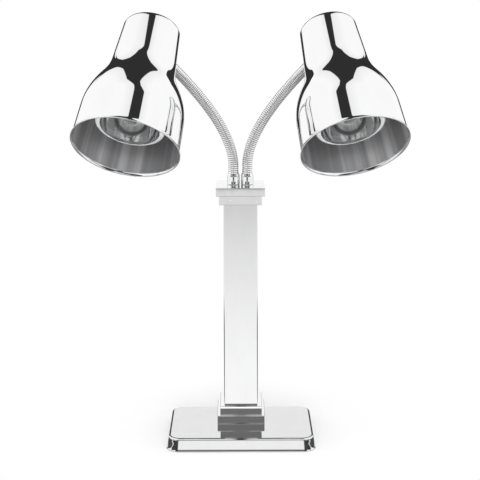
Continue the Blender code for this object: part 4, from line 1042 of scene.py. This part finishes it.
def electrics():
    low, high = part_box("switch_housing")
    half = COLUMN_HALF
    mid_z = (low.z + high.z) / 2
    body = box_cutter((-0.010, low.y, mid_z - 0.0065), (0.010, half + 0.001, mid_z + 0.0065))
    bezel = box_cutter((low.x, half + 0.0003, low.z), (high.x, high.y, high.z))
    bezel.name = "switch_frame"
    bezel.data.name = "switch_frame"
    bevel(bezel, 0.00055, 4)
    carve(bezel, body, operation="UNION")
    carve(bezel, box_cutter((-0.0085, half - 0.006, mid_z - 0.0052), (0.0085, half + 0.006, mid_z + 0.0052)))
    finish_piece(bezel, ("black",), "base", ["switch_housing"], 30.0)

    # rocker: two dished halves meeting at a crest, with grip ridges on one of them
    r_low, r_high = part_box("switch_rocker")
    pivot = joint_place("switch_rock")
    place = Matrix.Translation(pivot) @ Matrix.Rotation(math.radians(-10.0), 4, "X")
    long, thick, width = 4.7, 2.6, 16.2
    rings = []
    count = 24
    top = []
    for i in range(count + 1):
        t = -1 + 2 * i / count
        dish = -0.55 * math.sin(math.pi * min(1.0, abs(t))) * 0.5
        crest = thick - 0.9 + 0.8 * abs(t) + dish
        ridge = 0.16 * (1 if (0.45 < t < 0.85 and i % 2) else 0)
        top.append((long * t, crest + ridge))
    outline = [(-long + 0.5, -1.8)] + top + [(long - 0.5, -1.8)]
    outline = outline[::-1]
    for x, shrink in ((-width / 2, 0.25), (-width / 2 + 0.3, 0.0), (width / 2 - 0.3, 0.0), (width / 2, 0.25)):
        rings.append([Vector((x, max(-1.8 + shrink, y - shrink) if y > 0 else y + shrink, z * (1 - shrink / long))) * MM for z, y in outline])
    obj = loft("switch_rocker_cap", rings, place)
    finish_piece(obj, ("black",), "switch_rocker_body", ["switch_rocker"], 28.0)

    # moulded cord grip with flex rings
    g_low, g_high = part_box("cord_strain_relief")
    mid = centre_of("cord_strain_relief")
    grip = Matrix.Translation((0, 0, mid[2])) @ Matrix.Rotation(math.radians(-90), 4, "X")
    y0, y1 = g_low.y / MM, g_high.y / MM
    wall = y0 + 5
    profile = [(3.7, y1), (4.5, y1), (4.8, y1 - 0.4)]
    for k in range(4):
        z = y1 - 1.0 - k * 2.2
        grow = 4.9 + 0.3 * k
        profile += [(grow, z), (grow, z - 1.0), (grow - 0.75, z - 1.25), (grow - 0.7, z - 1.9)]
    profile += [(6.7, wall + 3.9), (6.9, wall + 3.5), (6.9, wall + 2.4), (6.7, wall + 2.1), (4.5, wall + 2.1), (4.5, y0), (3.7, y0)]
    lathe("cord_grip", profile, 48, grip, ("cord",), "base", ["cord_strain_relief"], closed=True, angle=35)

    # the lead itself, along the CAD cord's own line
    cord = tube_mesh("mains_lead", cord_path(), CORD_R * MM, 24)
    finish_piece(cord, ("cord",), "base", ["power_cord"], 50.0)

    p_low, p_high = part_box("plug_body")
    mid = centre_of("plug_pin_left") * 0.5 + centre_of("plug_pin_right") * 0.5
    place = Matrix.Translation((mid[0], 0, mid[2])) @ Matrix.Rotation(math.radians(-90), 4, "X")
    e = p_high.y / MM
    profile = [(0, e)] + rounded([(0.001, e), (12.6, e), (13.0, e - 8), (11.8, e - 17), (7.6, e - 25)], 1.2, 5)[1:]
    z = e - 26.0
    for k in range(4):
        profile += [(6.6 - 0.25 * k, z), (6.5 - 0.25 * k, z - 0.9), (5.4 - 0.15 * k, z - 1.1), (5.4 - 0.15 * k, z - 1.8)]
        z -= 2.0
    profile += [(4.4, e - 34), (3.7, e - 34), (3.7, e - 24), (0, e - 24)]
    flute = lambda i, r, z, a: r - (0.35 * (0.5 + 0.5 * math.cos(28 * a)) if (e - 16 < z < e - 3 and r > 10) else 0.0)
    fine = []
    for (r0, z0), (r1, z1) in zip(profile, profile[1:]):
        fine.append((r0, z0))
        if abs(z1 - z0) > 4 and r0 > 10:
            fine += [(r0 + (r1 - r0) * t, z0 + (z1 - z0) * t) for t in (0.2, 0.4, 0.6, 0.8)]
    fine.append(profile[-1])
    obj = lathe("moulded_plug", fine, 112, place, ("cord",), None, None, radius_at=flute)
    cuts = [cylinder_cutter(0.0023, (e - 6) * MM, (e + 2) * MM, place @ Matrix.Translation((s * 7.0 * MM, 0, 0)), 24) for s in (-1, 1)]
    carve(obj, *cuts)
    finish_piece(obj, ("cord",), "base", ["plug_body"], 30.0)
    for node in ("plug_pin_left", "plug_pin_right"):
        low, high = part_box(node)
        mid = centre_of(node)
        place = Matrix.Translation((mid[0], 0, mid[2])) @ Matrix.Rotation(math.radians(-90), 4, "X")
        a, b = low.y / MM, high.y / MM
        lathe("turned_" + node, [(0, b), (0.9, b - 0.1), (1.5, b - 0.6), (1.9, b - 1.4), (2.0, b - 2.4), (2.0, a), (0, a)], 32, place, ("nickel",), "base", [node])


def cord_path():
    """Centre line of the lead: down through the plinth, a quarter turn, out of the grip and back to the plug."""
    low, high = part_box("power_cord")
    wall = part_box("cord_strain_relief")[0].y / MM + 5.0
    level = centre_of("cord_strain_relief")[2] / MM
    end_z = (centre_of("plug_pin_left")[2] + centre_of("plug_pin_right")[2]) / 2 / MM
    table = low.z / MM + CORD_R
    points = [(0, 9.5, high.z / MM), (0, 9.5, 48.0), (0, 9.5, level + 14.4)]
    for i in range(1, 9):
        a = math.radians(90 * i / 8)
        points.append((0, 9.5 + 12 * (1 - math.cos(a)), level + 12 - 12 * math.sin(a)))
    points += [(0, 40, level), (0, wall + 6, level), (0, wall + 16, level), (0, wall + 22, level - 0.8), (0.6, wall + 30, level - 3.6),
               (1.6, wall + 38, level - 7.4), (2.8, wall + 46, table + 1.3), (4.2, wall + 54, table)]
    start_y, end_y = wall + 54, high.y / MM - 13
    for i in range(1, 9):
        t = i / 8
        rise = max(0.0, t - 0.4) / 0.6
        points.append((4.2 * math.cos(math.pi * t) + 4.2 * t, start_y + (end_y - start_y) * t, table + (end_z - table) * rise * rise * (3 - 2 * rise)))
    points.append((points[-1][0], high.y / MM, end_z))
    points = [Vector(p) * MM for p in points]
    out = []
    for i in range(len(points) - 1):
        a, b, c, d = points[max(0, i - 1)], points[i], points[i + 1], points[min(len(points) - 1, i + 2)]
        ta, tc = (c - a) * 0.5, (d - b) * 0.5
        run = (c - b).length
        ta, tc = (ta.normalized() * run if ta.length else ta), (tc.normalized() * run if tc.length else tc)
        steps = max(1, int(run / 0.002))
        for k in range(steps):
            t = k / steps
            out.append(b * (2 * t ** 3 - 3 * t * t + 1) + ta * (t ** 3 - 2 * t * t + t) + c * (3 * t * t - 2 * t ** 3) + tc * (t ** 3 - t * t))
    out.append(points[-1])
    return out


# ---------------------------------------------------------------- make the pieces
base()
column()
electrics()
goosenecks()
for word in ("left", "right"):
    shade(word)
    lamp(word)
    holder(word)
    restyle("lampholder_contact_" + word, "brass", 0.2)
    restyle("holder_bracket_" + word, "zinc", 0.35)
    restyle("holder_screw_a_" + word, "zinc", 0.2)
    restyle("holder_screw_b_" + word, "zinc", 0.2)
    restyle("gooseneck_foot_nut_" + word, "brass", 0.3)
    restyle("gooseneck_lock_nut_" + word, "brass", 0.3)
restyle("ballast_plate", "iron", 0.8)
restyle("tie_rod", "zinc", 0.25)
restyle("tie_rod_washer", "zinc", 0.15)
restyle("tie_rod_bottom_nut", "zinc", 0.3)
restyle("tie_rod_top_nut", "zinc", 0.3)
restyle("terminal_block", "white", 0.3)


# ---------------------------------------------------------------- studio
def floor():
    bm = bmesh.new()
    rings = []
    radii = [0.0, 0.3, 0.8, 1.6, 3.0, 5.0, 9.0]
    centre = bm.verts.new((0, 0, 0))
    for r in radii[1:]:
        rings.append([bm.verts.new((r * math.cos(2 * math.pi * k / 64), r * math.sin(2 * math.pi * k / 64), 0)) for k in range(64)])
    for k in range(64):
        bm.faces.new((centre, rings[0][k], rings[0][(k + 1) % 64]))
    for a, b in zip(rings, rings[1:]):
        for k in range(64):
            j = (k + 1) % 64
            bm.faces.new((a[k], b[k], b[j], a[j]))
    obj = object_from("studio_floor", bm, Matrix.Translation((0, 0, -0.0004)))
    settle(obj)
    look = Look("pale_floor", (0.90, 0.90, 0.90), 0.85)
    grain = look.noise(40.0, 5.0)
    look.set("Base Color", look.colours(look.ranged(grain, 0.3, 0.7), (0.895, 0.895, 0.895), (0.905, 0.905, 0.905)))
    look.set("Specular IOR Level", 0.1)
    tree = look.tree
    path = tree.nodes.new("ShaderNodeLightPath")
    # to the camera the sweep is paper white everywhere but in the soft contact shadow
    from_base = look.node("ShaderNodeVectorMath", {0: look.coords, 1: (0.0, 0.035, 0.0)}, operation="ADD").outputs[0]
    reach = look.node("ShaderNodeVectorMath", {0: from_base}, operation="LENGTH").outputs["Value"]
    far = look.ranged(reach, 0.13, 0.34, 0.25, 1.0, True)
    paper = look.node("ShaderNodeEmission", {"Strength": 1.0})
    seen = look.node("ShaderNodeMixShader", {1: look.shader.outputs[0], 2: paper.outputs[0]})
    tree.links.new(look.maths("MULTIPLY", path.outputs["Is Camera Ray"], far), seen.inputs[0])
    # in the polished metal the floor glows as a painted reflection of a lit table top: it ends in front of the camera,
    # with painted shade beside the base at a low angle, under steeply falling rays and in a wedge straight behind, and
    # a brighter painted patch to each side in front
    parts = look.node("ShaderNodeSeparateXYZ", {"Vector": look.coords})
    across = look.maths("ABSOLUTE", parts.outputs[0])
    along = look.maths("MULTIPLY", parts.outputs[1], -1.0)
    away = look.node("ShaderNodeVectorMath", {0: look.coords}, operation="LENGTH").outputs["Value"]
    ray = look.node("ShaderNodeSeparateXYZ", {"Vector": look.node("ShaderNodeNewGeometry").outputs["Incoming"]})
    steep = look.maths("ABSOLUTE", ray.outputs[2])
    lane = look.ranged(look.maths("DIVIDE", across, look.maths("MAXIMUM", along, 0.001)), 0.20, 0.30, 1.0, 0.0, True)
    ahead = look.maths("MULTIPLY", look.ranged(away, 0.4, 2.3, 1.02, 0.68), look.ranged(away, 2.74, 2.92, 1.0, 0.07, True))
    level = look.maths("ADD", look.maths("MULTIPLY", lane, ahead), look.maths("MULTIPLY", look.maths("SUBTRACT", 1.0, lane), 0.95))
    # painted shade beside the base for rays at a low angle
    beside = look.maths("MULTIPLY", look.ranged(across, 0.150, 0.175, 0.0, 1.0, True), look.ranged(away, 0.7, 1.1, 1.0, 0.0, True))
    low_ray = look.ranged(steep, 0.34, 0.46, 1.0, 0.0, True)
    # painted shade for steeply falling rays
    from_above = look.maths("MULTIPLY", look.ranged(steep, 0.34, 0.50, 0.0, 1.0, True), 0.76)
    behind = look.maths("MULTIPLY", look.ranged(parts.outputs[1], 0.4, 0.7, 0.0, 1.0, True), look.ranged(look.maths("DIVIDE", across, look.maths("MAXIMUM", parts.outputs[1], 0.001)), 0.44, 0.52, 0.9, 0.0, True))
    # painted light: a patch to each side in front of the base where steep rays are not darkened
    painted_light_patch = look.maths("MULTIPLY", look.maths("MULTIPLY", look.ranged(across, 0.14, 0.17, 0.0, 1.0, True), look.ranged(across, 0.50, 0.60, 1.0, 0.0, True)),
                       look.maths("MULTIPLY", look.ranged(along, 0.30, 0.36, 0.0, 1.0, True), look.ranged(along, 0.80, 1.00, 1.0, 0.0, True)))
    from_above = look.maths("MULTIPLY", from_above, look.maths("SUBTRACT", 1.0, painted_light_patch))
    shaded = look.maths("MAXIMUM", look.maths("MAXIMUM", look.maths("MULTIPLY", beside, low_ray), from_above), behind)
    # painted light and shade: the floor's glow as mirrored rays see it
    table = look.node("ShaderNodeEmission", {"Strength": look.maths("MULTIPLY", level, look.ranged(shaded, 0.0, 1.0, 1.0, 0.06))})
    both = look.node("ShaderNodeMixShader", {0: path.outputs["Is Glossy Ray"], 1: seen.outputs[0], 2: table.outputs[0]})
    tree.links.new(both.outputs[0], tree.nodes["Material Output"].inputs["Surface"])
    obj.data.materials.append(look.material)
    return obj


def softbox(name, rows, fades):
    """A glowing sheet through rows of points, dimmer towards the gap; seen only in reflections."""
    bm = bmesh.new()
    layer = bm.verts.layers.float.new("from_gap")
    made = []
    for row in rows:
        line = []
        for p, fade in zip(row, fades):
            v = bm.verts.new(p)
            v[layer] = fade
            line.append(v)
        made.append(line)
    for a, b in zip(made, made[1:]):
        for i in range(len(a) - 1):
            bm.faces.new((a[i], b[i], b[i + 1], a[i + 1]))
    obj = object_from(name, bm)
    material = bpy.data.materials.new(name)
    material.use_nodes = True
    tree = material.node_tree
    tree.nodes.remove(tree.nodes["Principled BSDF"])
    glow = tree.nodes.new("ShaderNodeEmission")
    where = tree.nodes.new("ShaderNodeAttribute")
    where.attribute_name = "from_gap"
    level = tree.nodes.new("ShaderNodeMapRange")
    level.clamp = False
    level.inputs["To Min"].default_value = SOFTBOX_AT_GAP
    level.inputs["To Max"].default_value = SOFTBOX_LEVEL
    tree.links.new(where.outputs["Fac"], level.inputs["Value"])
    tree.links.new(level.outputs["Result"], glow.inputs["Strength"])
    tree.links.new(glow.outputs[0], tree.nodes["Material Output"].inputs["Surface"])
    obj.data.materials.append(material)
    obj.visible_camera = False
    obj.visible_shadow = False
    return obj


SOFTBOX_LEVEL, SOFTBOX_AT_GAP = 1.0, 0.88
# edges of the dark gap in the overhead sheet as (depth, sideways) in metres, for whatever stands left of the middle
GAP_LOW = ((-0.60, -0.02), (-0.42, -0.045), (-0.32, -0.075), (-0.26, -0.14), (-0.20, -0.21), (-0.10, -0.31), (0.05, -0.35), (0.5, -0.48), (1.0, -0.72), (1.5, -1.10), (2.4, -1.90))
GAP_HIGH = ((-0.60, 0.42), (-0.50, 0.36), (-0.40, 0.25), (-0.30, 0.15), (-0.15, 0.09), (0.0, 0.12), (0.5, 0.28), (1.0, 0.50), (1.5, 0.60), (2.4, 0.66))
WALL_LOW, WALL_HIGH, WALL_MIDDLE = -1.30, 1.16, 1.02


def overhead():
    """One white sheet over the object, curved down at its sides, with a dark gap along it. The gap lies a little to
    the middle for both shades, so the shader first finds on which side of the middle a mirrored ray set out."""
    profile = ((0.0, 1.70), (0.4, 1.70), (0.8, 1.69), (1.2, 1.62), (1.55, 1.46), (1.85, 1.20), (2.02, 0.92), (2.10, 0.62))
    across = [(-x, z) for x, z in profile[::-1]] + [(x, z) for x, z in profile[1:]]
    rows = [[(x, -2.4 + 4.4 * i / 22, z) for x, z in across] for i in range(23)]
    obj = softbox("softbox_overhead", rows, [0.0] * len(across))
    tree = obj.data.materials[0].node_tree
    look = Look.__new__(Look)
    look.tree, look.shader, look.height = tree, None, None
    place = look.node("ShaderNodeNewGeometry")
    at = look.node("ShaderNodeSeparateXYZ", {"Vector": place.outputs["Position"]})
    back = look.node("ShaderNodeSeparateXYZ", {"Vector": place.outputs["Incoming"]})
    run = look.maths("DIVIDE", look.maths("SUBTRACT", 0.70, at.outputs[2]), look.maths("MINIMUM", back.outputs[2], -0.02))
    start = look.maths("ADD", at.outputs[0], look.maths("MULTIPLY", run, back.outputs[0]))
    mirrored = look.maths("MULTIPLY", at.outputs[0], look.maths("SUBTRACT", 1.0, look.maths("MULTIPLY", look.maths("GREATER_THAN", start, 0.0), 2.0)))

    def line(stops):
        total = stops[0][1]
        for (a, low), (b, high) in zip(stops, stops[1:]):
            total = look.maths("ADD", look.ranged(at.outputs[1], a, b, 0.0, high - low), total)
        return total

    past_low = look.maths("SUBTRACT", line(GAP_LOW), mirrored)      # above nought: on the white left of the gap
    past_high = look.maths("SUBTRACT", mirrored, line(GAP_HIGH))
    white = look.maths("MAXIMUM", past_low, past_high)
    level = look.ranged(white, 0.0, 0.35, SOFTBOX_AT_GAP, SOFTBOX_LEVEL)
    shown = look.maths("ADD", look.maths("MULTIPLY", level, look.ranged(white, -0.012, 0.012, 0.0, 1.0, True)), 0.03)
    glow = [n for n in tree.nodes if n.bl_idname == "ShaderNodeEmission"][0]
    tree.links.new(shown, glow.inputs["Strength"])


def softboxes():
    overhead()
    # white wall standing behind, with the same sort of gap: wide and off to one side for the shades, even for the column
    xs = (-3.48, -2.4, -1.6, -1.0, -0.5, 0.0, 0.5, 1.0, 1.6, 2.4, 3.48)
    obj = softbox("rear_wall", [[(x, 2.0, z) for x in xs] for z in (0.0, 0.4, 0.8, 1.2, 1.75)], [0.0] * len(xs))
    tree = obj.data.materials[0].node_tree
    look = Look.__new__(Look)
    look.tree, look.shader, look.height = tree, None, None
    at = look.node("ShaderNodeSeparateXYZ", {"Vector": look.node("ShaderNodeNewGeometry").outputs["Position"]})
    back = look.node("ShaderNodeSeparateXYZ", {"Vector": look.node("ShaderNodeNewGeometry").outputs["Incoming"]})
    run = look.maths("DIVIDE", 2.10, look.maths("MINIMUM", back.outputs[1], -0.02))
    start = look.maths("SUBTRACT", at.outputs[0], look.maths("MULTIPLY", run, look.maths("MULTIPLY", back.outputs[0], -1.0)))
    side = look.maths("SUBTRACT", 1.0, look.maths("MULTIPLY", look.maths("GREATER_THAN", start, 0.0), 2.0))
    mirrored = look.maths("MULTIPLY", at.outputs[0], side)
    off_middle = look.maths("GREATER_THAN", look.maths("ABSOLUTE", start), 0.085)
    for_shade = look.maths("MAXIMUM", look.maths("SUBTRACT", WALL_LOW, mirrored), look.maths("SUBTRACT", mirrored, WALL_HIGH))
    for_column = look.maths("SUBTRACT", look.maths("ABSOLUTE", at.outputs[0]), WALL_MIDDLE)
    white = look.maths("ADD", look.maths("MULTIPLY", for_shade, off_middle), look.maths("MULTIPLY", for_column, look.maths("SUBTRACT", 1.0, off_middle)))
    level = look.ranged(white, 0.0, 0.35, SOFTBOX_AT_GAP, SOFTBOX_LEVEL)
    shown = look.maths("ADD", look.maths("MULTIPLY", level, look.ranged(white, -0.02, 0.02, 0.0, 1.0, True)), 0.03)
    glow = [n for n in tree.nodes if n.bl_idname == "ShaderNodeEmission"][0]
    tree.links.new(shown, glow.inputs["Strength"])
    # narrow white card straight behind, up to the height that the tops of the tiers mirror
    card = [[(x, 1.98, z) for z in (0.0, 0.3, 0.6, 0.80, 0.90, 0.93)] for x in (-0.40, -0.2, 0.0, 0.2, 0.40)]
    softbox("rear_card", card, [0.6, 0.6, 0.6, 0.6, 0.6, -3.0])


def world():
    made = bpy.data.worlds.new("studio")
    scene.world = made
    made.use_nodes = True
    tree = made.node_tree
    tree.nodes.clear()

    def node(kind, values=None, **settings):
        n = tree.nodes.new(kind)
        for key, value in settings.items():
            setattr(n, key, value)
        for key, value in (values or {}).items():
            if isinstance(value, bpy.types.NodeSocket):
                tree.links.new(value, n.inputs[key])
            else:
                n.inputs[key].default_value = value
        return n

    def maths(op, a, b=0.0):
        return node("ShaderNodeMath", {0: a, 1: b}, operation=op).outputs[0]

    def ramp(value, low, high, to_low=0.0, to_high=1.0):
        return node("ShaderNodeMapRange", {"Value": value, "From Min": low, "From Max": high, "To Min": to_low, "To Max": to_high},
                    interpolation_type="SMOOTHSTEP").outputs["Result"]

    def window(value, a, b, c, d):
        return maths("MULTIPLY", ramp(value, a, b), ramp(value, c, d, 1.0, 0.0))

    def stepped(value, stops):
        """Sums one ramp per stretch between (place, level) stops."""
        total = stops[0][1]
        for (a, low), (b, high) in zip(stops, stops[1:]):
            total = maths("ADD", ramp(value, a, b, 0.0, high - low), total)
        return total

    coords = node("ShaderNodeTexCoord").outputs["Generated"]
    parts = node("ShaderNodeSeparateXYZ", {"Vector": coords})
    x, y, z = parts.outputs
    el = maths("MULTIPLY", maths("ARCSINE", z), 180 / math.pi)
    # angle round from straight behind the object: 0 behind, 90 at either side, 180 on the camera's side
    az = maths("MULTIPLY", maths("ABSOLUTE", maths("ARCTAN2", x, y)), 180 / math.pi)
    dark = 0.030
    quarter = maths("MULTIPLY", window(az, 64, 67, 100, 112), window(el, -14, -9, 36, 46))
    front = maths("MULTIPLY", ramp(az, 160, 168), stepped(el, ((-8, 1.0), (5, 1.0), (11, 0.16), (20, 0.085), (40, 0.02), (60, 0.0))))
    total = maths("ADD", maths("ADD", quarter, front), dark)
    path = node("ShaderNodeLightPath")
    white = (1.0, 1.0, 1.0, 1.0)
    glossy = node("ShaderNodeBackground", {"Color": white, "Strength": total})
    sky = node("ShaderNodeBackground", {"Color": white, "Strength": 1.0})
    soft = node("ShaderNodeBackground", {"Color": white, "Strength": 0.55})
    first = node("ShaderNodeMixShader", {0: path.outputs["Is Diffuse Ray"], 1: glossy.outputs[0], 2: soft.outputs[0]})
    last = node("ShaderNodeMixShader", {0: path.outputs["Is Camera Ray"], 1: first.outputs[0], 2: sky.outputs[0]})
    node("ShaderNodeOutputWorld", {"Surface": last.outputs[0]})


def fill_light():
    """Broad light from above for the floor and the matt pieces; not seen in the metal."""
    data = bpy.data.lights.new("overhead_fill", "AREA")
    data.shape = "DISK"
    data.size = 3.2
    data.energy = 46.0
    obj = bpy.data.objects.new("overhead_fill", data)
    scene.collection.objects.link(obj)
    obj.location = (0.0, -0.3, 2.6)
    obj.visible_glossy = False
    obj.visible_camera = False
    obj.visible_transmission = False


def mouth_light():
    """Low broad light from the front that reaches up into the shades; not seen in the metal."""
    data = bpy.data.lights.new("mouth_fill", "AREA")
    data.shape = "DISK"
    data.size = 0.9
    data.energy = 54.0
    obj = bpy.data.objects.new("mouth_fill", data)
    scene.collection.objects.link(obj)
    spot, aim = Vector((0.0, -1.9, 0.15)), Vector((0.0, -0.12, 0.66))
    obj.matrix_world = Matrix.Translation(spot) @ (aim - spot).to_track_quat("-Z", "Y").to_matrix().to_4x4()
    obj.visible_glossy = False
    obj.visible_camera = False
    obj.visible_transmission = False


def camera():
    data = bpy.data.cameras.new("camera")
    obj = bpy.data.objects.new("camera", data)
    scene.collection.objects.link(obj)
    data.sensor_width = 36.0
    data.lens = 1160.7 / 480 * 36.0
    data.clip_start, data.clip_end = 0.05, 60.0
    obj.location = (-0.00096, -2.0791, 0.8180)
    obj.rotation_mode = "QUATERNION"
    pitch = math.radians(12.321)
    look = Matrix.Rotation(math.radians(90) - pitch, 4, "X") @ Matrix.Rotation(math.radians(-0.175), 4, "Z")
    obj.rotation_quaternion = look.to_quaternion()
    scene.camera = obj


floor()
softboxes()
world()
fill_light()
mouth_light()
camera()
scene.view_settings.view_transform = "Standard"
scene.view_settings.look = "None"
